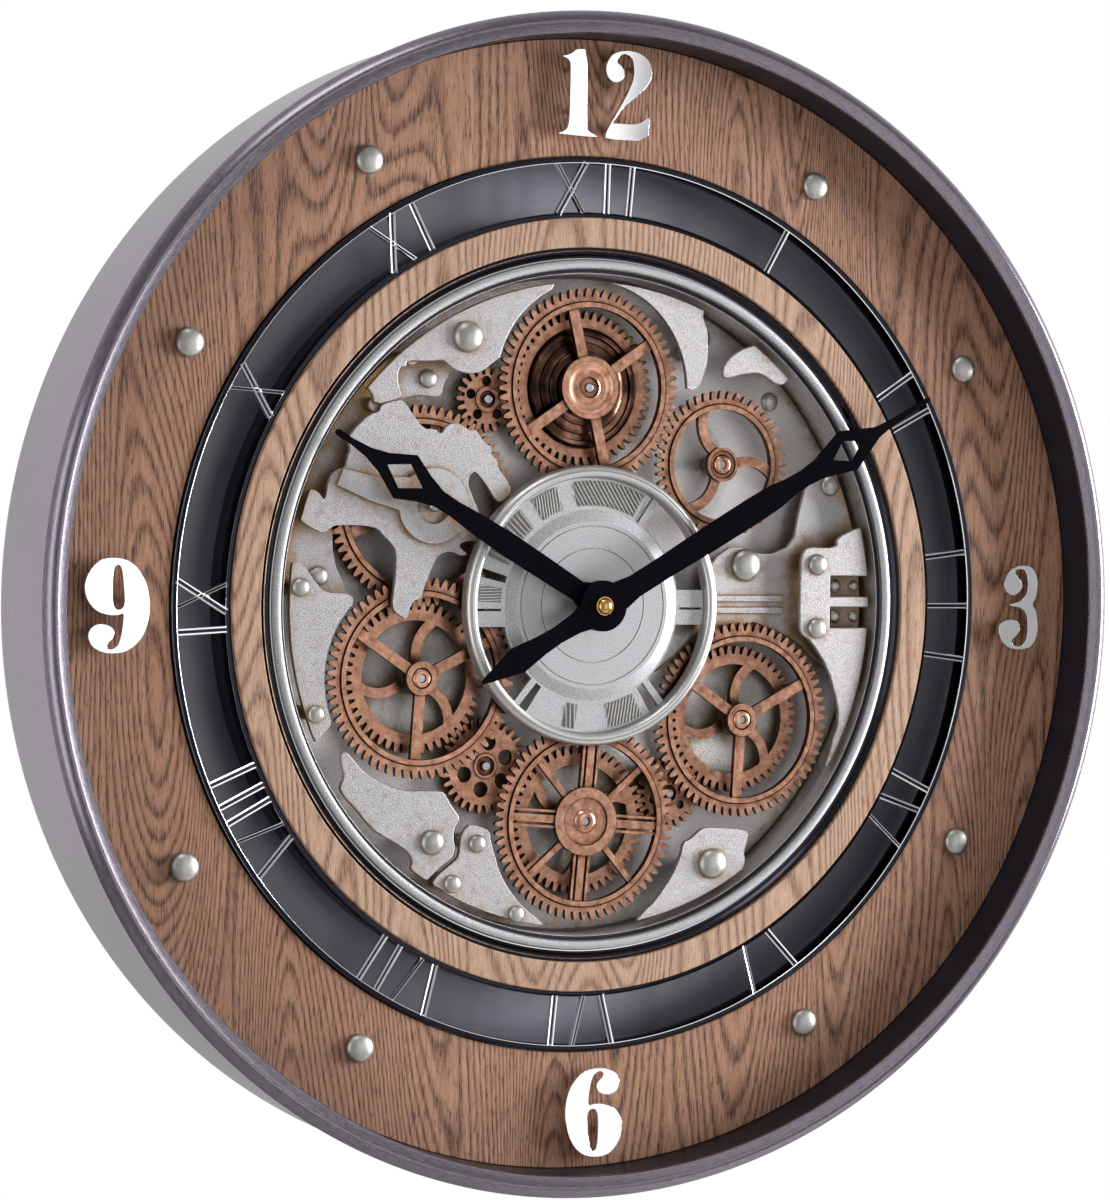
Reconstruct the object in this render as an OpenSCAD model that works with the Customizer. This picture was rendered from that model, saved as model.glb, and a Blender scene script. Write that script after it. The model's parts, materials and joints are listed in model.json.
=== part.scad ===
// Gear wall clock: a round metal and wood case around an open well of turning gears.
// Every piece is drawn lying on its back: x to the right, y up, z out from the wall.
// The module upright stands it up, so the dial looks along minus Y and the wall is at Y = 0.

/* [Case] */
// radius of the case at its front rim
case_r = 300; // [292:4:316]
// depth of the case from the wall to the ridge of the rim
case_depth = 77; // [75:1:84]
// thickness of the metal sheet in the case, liner, pan and drum
sheet_t = 2; // [1.6:0.1:2.2]
// width of the outer wood ring, as a share of the case radius
outer_wood_share = 0.19767; // [0.19:0.0005:0.2]
// thickness of the outer wood ring
outer_wood_t = 3.5; // [3:0.25:4.5]
// height of the four standing numerals
numeral_h = 46; // [40:1:48]

/* [Gear well] */
// thickness of the gear wheels of the rear layer
rear_wheel_t = 3.5; // [3:0.25:3.75]
// thickness of the gear wheels of the front layer
front_wheel_t = 3; // [2.5:0.25:3.25]
// thickness of the raised plates of the front layer
plate_t = 3; // [2:0.25:3.5]
// height of the raised bead on the front gear rims
bead_h = 0.8; // [0.5:0.1:1]
// radius of the steel pins the gears turn on
pin_r = 2.2; // [1.8:0.1:2.6]
// gap between a turning bore and its pin, on the radius
running_gap = 0.05; // [0.03:0.01:0.1]

/* [Hands] */
// thickness of both hands
hand_t = 1.5; // [1:0.1:1.8]
// length of the minute hand from the centre to its tip
minute_len = 222; // [205:1:226]
// length of the hour hand from the centre to its tip
hour_len = 170; // [150:1:176]
// angle of the minute hand at rest, clockwise from twelve
minute_angle = 60.2; // [0:1:360]
// angle of the hour hand at rest, clockwise from twelve
hour_angle = 300.4; // [0:1:360]

/* [Hidden] */
$fn = 96;
// how far a cutter reaches past the face it cuts, and how far joined shapes reach into each other
over = 1;
// running clearance between parts that must not touch
free_gap = 0.3;

// one millimetre across the dial of the clock in its real size, for what grows with the case
dial_unit = case_r / 300;

// radii of the rings, from the rim inwards
wall_r = case_r - 1.5;
lip_r = case_r - 11.5 * dial_unit;
ridge_r = case_r - 5.5 * dial_unit;
wall_taper = 1;
wood_r = lip_r - 0.2;
wood_in_r = wood_r - outer_wood_share * case_r;
pan_in_r = wood_in_r - 0.3;
pan_out_r = pan_in_r + sheet_t;
pan_flange_r = wood_in_r + 11 * dial_unit;
chapter_band_w = 3.2 * dial_unit;
chapter_out_r = wood_in_r - 0.5;
chapter_gap_w = 24.8 * dial_unit;
chapter_in_r = chapter_out_r - chapter_band_w - chapter_gap_w;
chapter_inner_w = 2.8 * dial_unit;
inner_wood_w = 15 * dial_unit;
inner_wood_r = chapter_in_r - chapter_inner_w - 0.1;
inner_wood_in_r = inner_wood_r - inner_wood_w;
trim_r = inner_wood_in_r - 1.6 * dial_unit;
trim_w = 4.4 * dial_unit;
bezel_r = trim_r - trim_w - 0.1;
bezel_w = 4.8 * dial_unit;
bezel_in_r = bezel_r - bezel_w;
drum_in_r = bezel_in_r - 2.2 * dial_unit;
drum_out_r = chapter_in_r - chapter_inner_w + 1;
well_r = drum_in_r - 1.1 * dial_unit;

// one millimetre in the gear well of the clock in its real size, for what grows with the well
well_unit = well_r / 168.4;
plate_r = well_r - 2.9 * well_unit;

// levels, as distances from the wall
pan_back_d = 23.5;
floor_d = pan_back_d + sheet_t;
base_t = 2;
base_top_d = floor_d + base_t;
rear_gap = 4;
rear_wheel_d = base_top_d + rear_gap;
deck_gap = 1.5;
deck_t = 2.5;
deck_d = rear_wheel_d + rear_wheel_t + deck_gap;
front_gap = 2;
front_wheel_d = deck_d + deck_t + front_gap;
plate_gap = 0.6;
plate_d = front_wheel_d + front_wheel_t + bead_h + plate_gap;
drum_h = 24;
ring_seat_d = floor_d + drum_h;
outer_wood_d = ring_seat_d - 2.5;
outer_wood_top_d = outer_wood_d + outer_wood_t;
disc_d = plate_d + 1.1;
disc_t = 4;
hub_t = 4;
hour_hand_d = disc_d + disc_t + 8.3;
hand_gap = 2;
minute_hand_d = hour_hand_d + hand_t + hand_gap;

// the gear train: one module and one pressure angle for every wheel that meshes
gear_module = well_r * 0.0092;
pressure_angle = 20;
addendum = gear_module * 0.9;
dedendum = gear_module * 1.9;
// share of a tooth that is taken off its width so that meshing teeth never bind
tooth_slack = 0.05;
tip_share = 0.62;
upper_teeth = 64;
upper_rear_teeth = 50;
right_teeth = 48;
side_teeth = 64;
rear_teeth = 48;
front_teeth = 64;
upper_pinion_teeth = 20;
left_pinion_teeth = 30;
lower_pinion_teeth = 22;

// directions from each gear to the next one in the train
dir_right = -26;
dir_upper_pinion = 187.5;
dir_side = 237;
dir_left = 267.9;
dir_left_pinion = -48.8;
dir_lower = -28.6;
dir_lower_pinion = 13.4;
dir_lower_right = 45.2;

function polar(r, a) = [r * cos(a), r * sin(a)];
function pitch_r(n) = n * gear_module / 2;
function step_to(c, dir, n1, n2) = c + polar(pitch_r(n1) + pitch_r(n2), dir);

// a tooth of the first gear meets a gap of the second one on the line between their centres
function mesh_phase(dir, phase1, n1, n2) =
    dir + 180 - (0.5 - (dir - phase1) * n1 / 360) * 360 / n2;

upper_c = [0, well_r * 0.662];
right_c = step_to(upper_c, dir_right, upper_teeth, right_teeth);
upper_pinion_c = step_to(upper_c, dir_upper_pinion, upper_rear_teeth, upper_pinion_teeth);
side_c = step_to(upper_pinion_c, dir_side, upper_pinion_teeth, side_teeth);
left_c = step_to(side_c, dir_left, side_teeth, rear_teeth);
left_pinion_c = step_to(left_c, dir_left_pinion, rear_teeth, left_pinion_teeth);
lower_c = step_to(left_pinion_c, dir_lower, left_pinion_teeth, rear_teeth);
lower_pinion_c = step_to(lower_c, dir_lower_pinion, rear_teeth, lower_pinion_teeth);
lower_right_c = step_to(lower_pinion_c, dir_lower_right, lower_pinion_teeth, rear_teeth);

upper_phase = 1.5;
upper_rear_phase = 0;
right_phase = mesh_phase(dir_right, upper_phase, upper_teeth, right_teeth);
upper_pinion_phase =
    mesh_phase(dir_upper_pinion, upper_rear_phase, upper_rear_teeth, upper_pinion_teeth);
side_phase = mesh_phase(dir_side, upper_pinion_phase, upper_pinion_teeth, side_teeth);
left_phase = mesh_phase(dir_left, side_phase, side_teeth, rear_teeth);
left_pinion_phase = mesh_phase(dir_left_pinion, left_phase, rear_teeth, left_pinion_teeth);
lower_phase = mesh_phase(dir_lower, left_pinion_phase, left_pinion_teeth, rear_teeth);
lower_pinion_phase = mesh_phase(dir_lower_pinion, lower_phase, rear_teeth, lower_pinion_teeth);
lower_right_phase =
    mesh_phase(dir_lower_right, lower_pinion_phase, lower_pinion_teeth, rear_teeth);

// small hardware
cup_r = 5.4 * well_unit;
cup_depth = 1.6;
small_hub_r = 8.5 * well_unit;
barrel_r = 9 * well_unit;
collar_r = 4;
pin_tip = 0.6;
rim_w = 8.3 * well_unit;
bead_w = 2.4 * well_unit;
groove_w = 0.8 * well_unit;
tip_gap = 3.5 * well_unit;
groove_depth = 0.5;
spoke_w = 5.5 * well_unit;
curved_spoke_w = 5.2 * well_unit;
pillar_r = 3.5 * well_unit;
bush_r = 4;
hour_tube_r = 3;
minute_arbor_r = hour_tube_r - 1.25;
boss_r = 13;

// the quartz movement behind the centre disc
movement_w = 56;
movement_t = 16;
movement_top_d = disc_d - 1;
movement_d = movement_top_d - movement_t;
washer_t = disc_d - movement_top_d;
bush_top_d = hour_hand_d - 2.8;
support_r = 43.5;
support_in_r = support_r - 2;
cell_r = 7.25;
cell_len = 49.5;
cell_nub_r = 2.75;
cell_nub_h = 1;
bay_len = 51.5;
bay_w = 15.5;
bay_depth = 15.1;
bay_y = -18.5;

// the gear drive behind the upper gear
drive_w = 64;
drive_h = 96;
drive_back_d = 3;
drive_drop = 41.5;
drive_y = upper_c.y - drive_drop;
drive_bay_low = 2.2;
drive_bay_y = drive_y + drive_bay_low;
drive_bay_h = 31.4;
drive_cell_pitch = 15.6;
drive_cell_d = 11.5;
lid_w = 56;
lid_h = 36;
lid_t = 1.2;
lid_lip_t = 0.6;
lid_tongue = 1;
lid_gap = 0.15;
switch_w = 4.6;
switch_travel = 4.2;
switch_below_top = 12;
switch_y = drive_y + drive_h - switch_below_top;

// back panel and what hangs the clock up
panel_d = 1.5;
panel_t = 3;
panel_r = wall_r - sheet_t - wall_taper - 0.4;
hem_w = 8;
window_w = 80;
window_low = -36;
window_gap = 4.5;
hanger_y = case_r * 0.8;
hanger_seat = 14;
hanger_w = window_w + 2 * hanger_seat;
hanger_h = 40;
window_h = hanger_y + hanger_h / 2 + window_gap - window_low;
hanger_t = 1.5;
hanger_screw_in = 7;
keyhole_r = 5;
key_slot_w = 5;
key_slot_l = 11;
spacer_r = 6;
spacer_count = 8;
spacer_ring_r = case_r * 0.66;
screw_r = 1.75;
screw_head_r = 4;
screw_head_h = 1.2;
screw_len = 9;

// outlines of the plates, as percent of the well radius
upper_left_shares = [
    [-75.6, 65], [-73, 62.8], [-71.8, 59], [-63.5, 61.3], [-63.7, 63.4], [-64.8, 66.6],
    [-64.1, 70.5], [-61.9, 70.7], [-61.7, 72.5], [-54, 72.5], [-50, 73.1], [-47.6, 71],
    [-45.2, 69.8], [-41.3, 69.1], [-37.4, 69.8], [-35.4, 71.3], [-31.8, 74.1], [-24.9, 77.1],
    [-17.8, 90.1], [-13, 97.3], [-13.3, 99.4], [-27.6, 96.4], [-41.2, 91.4], [-54, 84.4],
    [-65.7, 75.7], [-76, 65.4]
];
top_shares = [
    [1.8, 99.6], [-1.1, 90.1], [22.6, 84.2], [28.6, 67.6], [33.1, 66.6], [34.5, 66.4],
    [36.7, 67.8], [37.9, 71.3], [39.1, 73.7], [39.4, 78.4], [39.3, 84], [38.2, 86.8],
    [37.5, 88.4], [37.6, 90.1], [38.1, 91.9], [38.4, 92.6], [26.5, 96.7], [14.3, 99.2],
    [1.9, 100.2]
];
islet_shares = [
    [44.8, 71.3], [45, 73.7], [47.4, 76.9], [51.3, 79.3], [55.3, 80.8], [58.4, 81.2],
    [61.6, 79.3], [65.6, 76.5], [68.8, 73.7], [68.9, 72.1], [67.2, 69.4], [65.2, 68.6],
    [62.8, 69.4], [59.3, 71.7], [56.5, 72.3], [51.3, 71.6], [47.4, 70.5], [45.4, 70.4]
];
right_shares = [
    [74.3, 16.7], [75.9, 18.3], [86.2, 18.1], [86.6, 21.4], [94.1, 24.6], [98.8, 25],
    [97.2, 24.6], [99.6, 11.5], [100.2, -1.7], [99.1, -15], [96.3, -27.9], [91.7, -40.4],
    [85.6, -52.2], [86.2, -52.6], [84.6, -53], [82, -46.4], [87.9, -39.3], [87.8, -31.6],
    [83.8, -19.7], [77.4, -11], [73.9, -9], [73.3, -6.2], [73.5, 13.5]
];
lower_right_shares = [
    [33.1, -73.2], [35.5, -72.4], [37.9, -70.4], [40.3, -68.8], [47.4, -69.2], [54.5, -70],
    [55.9, -71.2], [55.3, -73.9], [54.3, -76.7], [54.9, -79.5], [54.1, -81.9], [52.9, -83.1],
    [53.8, -84.6], [42.4, -90.9], [30.1, -95.6], [17.4, -98.7], [17.3, -98.1], [16.7, -97.3],
    [19.7, -94.1], [23.6, -91], [29.2, -83.8], [32.3, -77.5]
];
bottom_shares = [
    [-39.3, -65.6], [-33, -67.6], [-32.6, -71.2], [-31, -76], [-29.5, -80.7], [-25.5, -87],
    [-21.5, -91.4], [-14.8, -96.5], [-15.2, -97.7], [-15.4, -99.1], [-27, -96.5], [-38.2, -92.7],
    [-48.8, -87.6], [-47.6, -85.5], [-52, -83.4], [-50, -80.7], [-44.5, -76.7], [-42.9, -75.1],
    [-42.5, -69.6], [-41.3, -67.2]
];
lower_left_shares = [
    [-81.5, -43.5], [-79.7, -43.2], [-77.7, -45.4], [-73.8, -49.8], [-66.6, -53.7], [-60.3, -55.2],
    [-51.6, -55.3], [-48, -55.8], [-46.1, -59.3], [-42.5, -64.1], [-44.5, -66.4], [-44.9, -69.6],
    [-44.2, -72.7], [-45.2, -76], [-48.5, -77.9], [-50.8, -79.9], [-54, -82.7], [-59.1, -78.7],
    [-58.1, -76.3], [-59.5, -73.6], [-63.5, -70.8], [-68.2, -68.4], [-72.2, -65.6], [-76.1, -60.9],
    [-80.9, -56.1], [-81.9, -53.7], [-80.3, -50.6], [-81.5, -46.6]
];
left_shares = [
    [-99.3, 12.4], [-95.5, 12.5], [-93.2, 10.7], [-90, 6.4], [-87.2, 3.6], [-79.3, 3.3],
    [-77.9, 1.4], [-80.9, -4.7], [-84.4, -11.8], [-86.5, -18.9], [-86.8, -24.5], [-86, -30],
    [-84.7, -34.7], [-85.6, -36.3], [-89.6, -40.3], [-91.4, -41.1], [-96.2, -28.3], [-99.1, -14.9],
    [-100.2, -1.3], [-99.5, 12.4]
];
star_shares = [
    [-62.8, 60.9], [-60.1, 57.1], [-56.1, 52.3], [-52.6, 52.5], [-50.4, 50.8], [-48.6, 53.5],
    [-45.8, 54.5], [-43.5, 53.7], [-41.1, 52.1], [-39.1, 52.7], [-37.5, 50.4], [-35.9, 48.4],
    [-34, 47.6], [-33.8, 44.8], [-31.9, 43.6], [-31.6, 40.9], [-28.4, 37.3], [-27, 34.7],
    [-27.6, 33], [-30.8, 30.8], [-32.4, 31.8], [-36.3, 37.3], [-39.1, 40.1], [-40.7, 39.3],
    [-41.7, 36.5], [-40.3, 33.3], [-38.3, 29], [-34.7, 21.4], [-37.5, 19.1], [-41.1, 19.5],
    [-44.7, 17.9], [-41.1, 15.1], [-43.5, 14.7], [-45.8, 15.9], [-49, 15.9], [-51.4, 14.3],
    [-53, 11.2], [-55.7, 4.8], [-56.1, 2.1], [-58.9, 1.2], [-60.3, -1.5], [-61, -4.3],
    [-63.2, -3.1], [-65.2, -1.5], [-65.6, 0.9], [-65.2, 4], [-64.6, 8.8], [-64.4, 15.9],
    [-66.4, 18.7], [-68.4, 20.2], [-70.4, 22.6], [-74.3, 23.5], [-83, 23.6], [-85.4, 23],
    [-87, 21.4], [-89.4, 21.4], [-94.9, 24.6], [-95.1, 25.8], [-93.7, 30.2], [-92.3, 34.1],
    [-89.8, 33.3], [-87.8, 30.8], [-87, 32.5], [-86.6, 35.7], [-85.4, 38.5], [-83, 40.1],
    [-81.1, 40.4], [-80.6, 42.8], [-79.5, 46], [-80.3, 48.4], [-78.7, 51.5], [-73.5, 56.3],
    [-70.4, 57.1], [-70, 59.1], [-66.4, 60.3]
];
right_deck_shares = [
    [22.6, -22.7], [34.5, -13.8], [40.4, -6.1], [41.6, -0.1], [41.6, 5.8], [45.2, 14.1], [52.3, 18.9],
    [64.2, 15.3], [73.7, 18.9], [76.1, 30.8], [78.4, 37.9], [81.8, 40.3], [94.1, 43.2], [99.8, 43.8],
    [101, 24.8], [102.2, 1.1], [100.4, -22.7], [93.9, -22.7], [85, -19.1], [74.9, -10.8], [65.4, -7.2],
    [58.3, -4.9]
];
left_deck_shares = [
    [-103.3, 7], [-96.1, 6.4], [-87.8, 2.9], [-78.9, 2.9], [-78.1, 4.6], [-82.5, 12.9], [-83.1, 27.8],
    [-79.5, 42.6], [-73.6, 53.3], [-67.6, 59.3], [-63.5, 61], [-55.8, 62.8], [-49.8, 62.2], [-48, 62.8],
    [-47.4, 65.8], [-45.1, 70], [-48.6, 73.5], [-65.3, 74.7], [-75.4, 67.6], [-90.2, 48.6],
    [-99.1, 30.8]
];
star_arm_shares = [
    [-84.1, 35.3], [-82.1, 40.1], [-71.2, 37.9], [-60.5, 37.9], [-52.2, 35.5], [-51, 27.2],
    [-62.9, 26.4], [-64.3, 28.2], [-73.6, 30.8]
];

// outlines of the numerals, as percent of their height
one_shares = [
    [-53.9, 39.3], [-47.2, 40.4], [-40.7, 43.7], [-36.1, 47.8], [-22.2, 48.7], [-22.2, -35.9],
    [-20.4, -41.3], [-13.7, -44.3], [-9.8, -46.3], [-10.2, -48], [-56.7, -46.5], [-56.3, -45.2],
    [-48.5, -42.6], [-45, -37], [-43.5, -24.6], [-42.8, 24.8], [-43.3, 32.6], [-46.1, 36.3],
    [-50.7, 37.8]
];
two_shares = [
    [0.9, 31.5], [3.3, 38.3], [8.7, 45], [17.8, 48.9], [28.9, 50.4], [40.2, 48.9],
    [49.1, 45], [55.9, 38.3], [58.5, 28], [57, 20.2], [51.3, 11.3], [42.4, 2.4],
    [31.1, -6.7], [22.2, -13.5], [12.2, -26.7], [9.3, -31.3], [17.8, -30.9], [33.5, -31.3],
    [44.6, -29.1], [51.3, -24.6], [56.3, -21.1], [53.7, -48.7], [0.9, -49.3], [0.9, -42.6],
    [8.7, -29.1], [20, -11.1], [28.9, 4.6], [34.6, 18], [36.1, 29.1], [34.6, 39.3],
    [30, 44.6], [23.3, 46.5], [17.8, 43.7], [14.8, 39.3], [14.8, 35.9], [20, 32.6],
    [23.3, 28], [23.7, 22.4], [21.1, 17], [15.4, 14.1], [8.7, 14.6], [3.3, 19.1],
    [0.9, 25.9]
];
three_shares = [
    [-20.9, 28.3], [-13, 42.4], [-0.4, 47.6], [9.6, 47.6], [17.8, 45.7], [25, 34.8],
    [26.1, 23.9], [23.9, 9.8], [18.5, 2.2], [24.6, -6.5], [27.2, -26.1], [23.9, -40.2],
    [16.3, -48.9], [3.5, -51.3], [-8.7, -50.2], [-16.7, -47.2], [-25, -38.9], [-28, -28.9],
    [-27, -22.6], [-20.9, -17.6], [-10.7, -15.7], [-2.6, -17.6], [1.5, -22.6], [1.5, -28.9],
    [-2.6, -35], [-8.7, -38.9], [-10.2, -42], [-6.7, -46.1], [0.4, -48.3], [7.6, -45.2],
    [12.6, -35], [12.6, -16.5], [8.7, -6.3], [1.5, -1.3], [-9.8, -0.2], [-13.7, 1.3],
    [-9.8, 2.8], [1.5, 4.8], [9.6, 12], [12.6, 22.2], [11.7, 34.3], [7.6, 42.6],
    [1.5, 43.5], [-4.1, 42.6], [-6.7, 40.4], [-4.6, 36.5], [2.6, 29.3], [4.6, 23.3],
    [1.5, 17], [-5.7, 12.6], [-11.7, 13], [-17.8, 17], [-20.9, 23.3]
];
six_shares = [
    [-1.3, 49.6], [8.9, 50], [19.1, 47.6], [27.4, 42.4], [31.3, 34.3], [31.3, 28.3],
    [27.4, 22.2], [19.1, 18.9], [11.1, 20], [4.8, 23], [2.4, 28.3], [3.9, 34.3],
    [8.9, 38.5], [11.1, 42.4], [10, 45.4], [4.8, 45.9], [-1.3, 41.5], [-4.3, 33.3],
    [-6.3, 21.1], [-7.4, 7.8], [-1.3, 10.2], [8.9, 10.2], [21.1, 6.7], [29.3, -0.4],
    [34.3, -9.6], [35.9, -19.8], [33.5, -30], [27.4, -40], [19.1, -47.2], [8.9, -49.8],
    [-3.3, -49.3], [-13.5, -46.3], [-23.7, -38], [-31.7, -23.7], [-35.2, -7.4], [-35.9, 4.8],
    [-33.9, 18.9], [-28.7, 32.2], [-19.6, 42.4], [-9.3, 48.3]
];
six_hole_shares = [
    [-4.3, 4.3], [0.9, 4.3], [3.9, -0.4], [5.2, -7.4], [5.2, -25.9], [3.9, -38],
    [0.9, -42.2], [-2.8, -42.2], [-5.4, -36.1], [-7, -21.7], [-8.5, -1.3]
];

// helpers
module upright() {
    rotate([90, 0, 0]) children();
}

module raise(d) {
    translate([0, 0, d]) children();
}

module at(c, d = 0) {
    translate([c.x, c.y, d]) children();
}

module ring(r_out, r_in, d, t) {
    raise(d) linear_extrude(t) difference() {
        circle(r_out);
        circle(r_in);
    }
}

// rounded cap of radius r and height h, standing on level d
dome_steps = 8;
module dome(r, h, d) {
    raise(d) rotate_extrude() polygon(concat(
        [[0, 0]],
        [for (i = [0 : dome_steps]) [r * cos(i * 90 / dome_steps), h * sin(i * 90 / dome_steps)]]
    ));
}

module box(x, y, w, h, d, t) {
    translate([x - w / 2, y - h / 2, d]) cube([w, h, t]);
}

// cuts the corners of an outline once, so that it reads as a soft sawn edge
function softened(p) = [
    for (i = [0 : len(p) - 1])
        let (a = p[i], b = p[(i + 1) % len(p)])
        each [a * 0.78 + b * 0.22, a * 0.22 + b * 0.78]
];
function scaled(shares, size) = [for (s = shares) s * size / 100];

// half the angle a tooth takes up at radius r
function involute(a) = tan(a) * 180 / PI - a;
function half_tooth(n, r) =
    let (base_r = pitch_r(n) * cos(pressure_angle))
    90 / n * (1 - tooth_slack) + involute(pressure_angle) - involute(acos(min(1, base_r / r)));

module gear_outline(n, phase) {
    root_r = pitch_r(n) - dedendum;
    tip_r = pitch_r(n) + addendum;
    shoulder_r = tip_r - gear_module * 0.3;
    base_r = pitch_r(n) * cos(pressure_angle);
    h_root = half_tooth(n, max(root_r, base_r));
    h_pitch = half_tooth(n, pitch_r(n));
    h_shoulder = half_tooth(n, shoulder_r);
    h_tip = h_shoulder * tip_share;
    polygon([
        for (i = [0 : n - 1])
            let (c = phase + i * 360 / n)
            each [
                polar(root_r, c - h_root),
                polar(pitch_r(n), c - h_pitch),
                polar(shoulder_r, c - h_shoulder),
                polar(tip_r, c - h_tip),
                polar(tip_r, c + h_tip),
                polar(shoulder_r, c + h_shoulder),
                polar(pitch_r(n), c + h_pitch),
                polar(root_r, c + h_root)
            ]
    ]);
}

function rim_in_r(n) = pitch_r(n) - rim_w;
function gear_clear_r(n) = pitch_r(n) + addendum + tip_gap;

// straight spokes of one width, from the centre into the rim
module straight_spokes(n, angles, w) {
    for (a = angles) {
        rotate(a) translate([0, -w / 2]) square([rim_in_r(n) + over, w]);
    }
}

// spokes that bulge against the clock, three to a wheel
curve_centre_shares = [0.61, -0.49];
curve_r_share = 0.645;
curve_cut_share = 0.25;
module curved_spokes(rim_in, start, w) {
    for (a = [0 : 120 : 240]) {
        rotate(start + a) intersection() {
            translate(curve_centre_shares * rim_in) difference() {
                circle(curve_r_share * rim_in + w / 2);
                circle(curve_r_share * rim_in - w / 2);
            }
            translate([0, -curve_cut_share * rim_in]) square([rim_in + over, rim_in]);
            circle(rim_in + over);
        }
    }
}

// toothed rim with hub and spokes (children), its raised bead and the groove beside it
module front_wheel(n, phase, hub_r, dish_r, bore_r) {
    rim_in = rim_in_r(n);
    top_d = front_wheel_d + front_wheel_t;
    hub_top_d = front_wheel_d + hub_t;
    difference() {
        union() {
            raise(front_wheel_d) linear_extrude(front_wheel_t) difference() {
                union() {
                    difference() {
                        gear_outline(n, phase);
                        circle(rim_in);
                    }
                    children();
                }
                circle(bore_r);
            }
            ring(rim_in + bead_w, rim_in, top_d - groove_depth, bead_h + groove_depth);
            ring(hub_r, bore_r, front_wheel_d, hub_t);
        }
        ring(rim_in + bead_w + groove_w, rim_in + bead_w, top_d - groove_depth, over);
        raise(hub_top_d - cup_depth) cylinder(r = cup_r, h = cup_depth + over);
        raise(hub_top_d - cup_depth / 2) cylinder(r = dish_r, h = over);
    }
}

// wheel of the rear layer that carries a front wheel on its barrel
module rear_wheel(n, phase, start, bore_r) {
    rim_in = rim_in_r(n);
    raise(rear_wheel_d) linear_extrude(rear_wheel_t) difference() {
        union() {
            difference() {
                gear_outline(n, phase);
                circle(rim_in);
            }
            curved_spokes(rim_in, start, curved_spoke_w);
            circle(barrel_r);
        }
        circle(bore_r);
    }
    ring(barrel_r, bore_r, rear_wheel_d, front_wheel_d - rear_wheel_d);
}

// flat pinion with a ring of lightening holes
module pinion(n, phase, hub, cup, holes, hole_r, hole_ring_r) {
    difference() {
        union() {
            raise(rear_wheel_d) linear_extrude(rear_wheel_t) difference() {
                gear_outline(n, phase);
                circle(pin_r + running_gap);
                for (i = [0 : holes - 1]) {
                    translate(polar(hole_ring_r, i * 360 / holes + 20)) circle(hole_r);
                }
            }
            ring(hub, pin_r + running_gap, rear_wheel_d, rear_wheel_t + bead_h);
        }
        raise(rear_wheel_d + rear_wheel_t + bead_h - cup_depth) cylinder(r = cup, h = cup_depth + over);
    }
}

// a raised plate: its outline as percent of the well radius, trimmed to the well and round the gears
module plate_outline(shares) {
    difference() {
        intersection() {
            polygon(softened(scaled(shares, well_r)));
            circle(plate_r);
        }
        translate(upper_c) circle(gear_clear_r(upper_teeth));
        translate(left_c) circle(gear_clear_r(front_teeth));
        translate(lower_right_c) circle(gear_clear_r(front_teeth));
        translate(lower_c) circle(gear_clear_r(front_teeth));
        translate(right_c) circle(gear_clear_r(right_teeth));
    }
}

module top_plate(shares) {
    raise(plate_d) linear_extrude(plate_t) plate_outline(shares);
}

// case and rings
module case_ring() color("#8E8A8C") upright() {
    rotate_extrude() polygon([
        [wall_r - wall_taper, 0],
        [wall_r, case_depth - 5.5],
        [case_r, case_depth - 5],
        [case_r, case_depth - 4.4],
        [ridge_r, case_depth],
        [lip_r + 0.8, case_depth - 1.4],
        [lip_r, case_depth - 1.4],
        [lip_r, case_depth - 1.4 - sheet_t],
        [ridge_r, case_depth - 2],
        [wall_r - sheet_t, case_depth - 5.5],
        [wall_r - wall_taper - sheet_t, panel_d],
        [wall_r - hem_w, panel_d],
        [wall_r - hem_w, 0]
    ]);
}

liner_shelf_w = 9;
liner_foot_t = 3;
module inner_liner() color("#1A1A22") upright() {
    ring(lip_r + sheet_t, lip_r, outer_wood_d - liner_foot_t, case_depth - 1.4 - sheet_t
        - outer_wood_d + liner_foot_t);
    ring(lip_r + over, lip_r - liner_shelf_w, outer_wood_d - liner_foot_t, liner_foot_t);
}

module outer_wood_ring() color("#8B6A50") upright() {
    difference() {
        ring(wood_r, wood_in_r, outer_wood_d, outer_wood_t);
        for (h = stud_hours) {
            at(polar(stud_ring_r, 90 - h * 30), outer_wood_d - over)
                cylinder(r = stud_peg_r, h = outer_wood_t + 2 * over);
        }
        for (p = concat(one_pegs, two_pegs)) {
            at(twelve_c + p * numeral_h, outer_wood_d - over)
                cylinder(r = peg_r, h = outer_wood_t + 2 * over);
        }
        for (p = three_pegs) {
            at(three_c + p * numeral_h, outer_wood_d - over)
                cylinder(r = peg_r, h = outer_wood_t + 2 * over);
        }
        for (p = six_pegs) {
            at(six_c + p * numeral_h, outer_wood_d - over)
                cylinder(r = peg_r, h = outer_wood_t + 2 * over);
            at(nine_c - p * numeral_h, outer_wood_d - over)
                cylinder(r = peg_r, h = outer_wood_t + 2 * over);
        }
    }
}

stud_hours = [1, 2, 4, 5, 7, 8, 10, 11];
stud_r = 7.3;
stud_ring_r = case_r * 0.8487;
stud_peg_r = 2;
stud_collar_h = 1.4;
stud_dome_h = 3.6;
module hour_studs() color("#A9A9A6") upright() {
    for (h = stud_hours) {
        at(polar(stud_ring_r, 90 - h * 30)) {
            raise(outer_wood_d) cylinder(r = stud_peg_r, h = outer_wood_t + over);
            raise(outer_wood_top_d) cylinder(r = stud_r, h = stud_collar_h);
            dome(stud_r, stud_dome_h, outer_wood_top_d + stud_collar_h);
        }
    }
}

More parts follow.
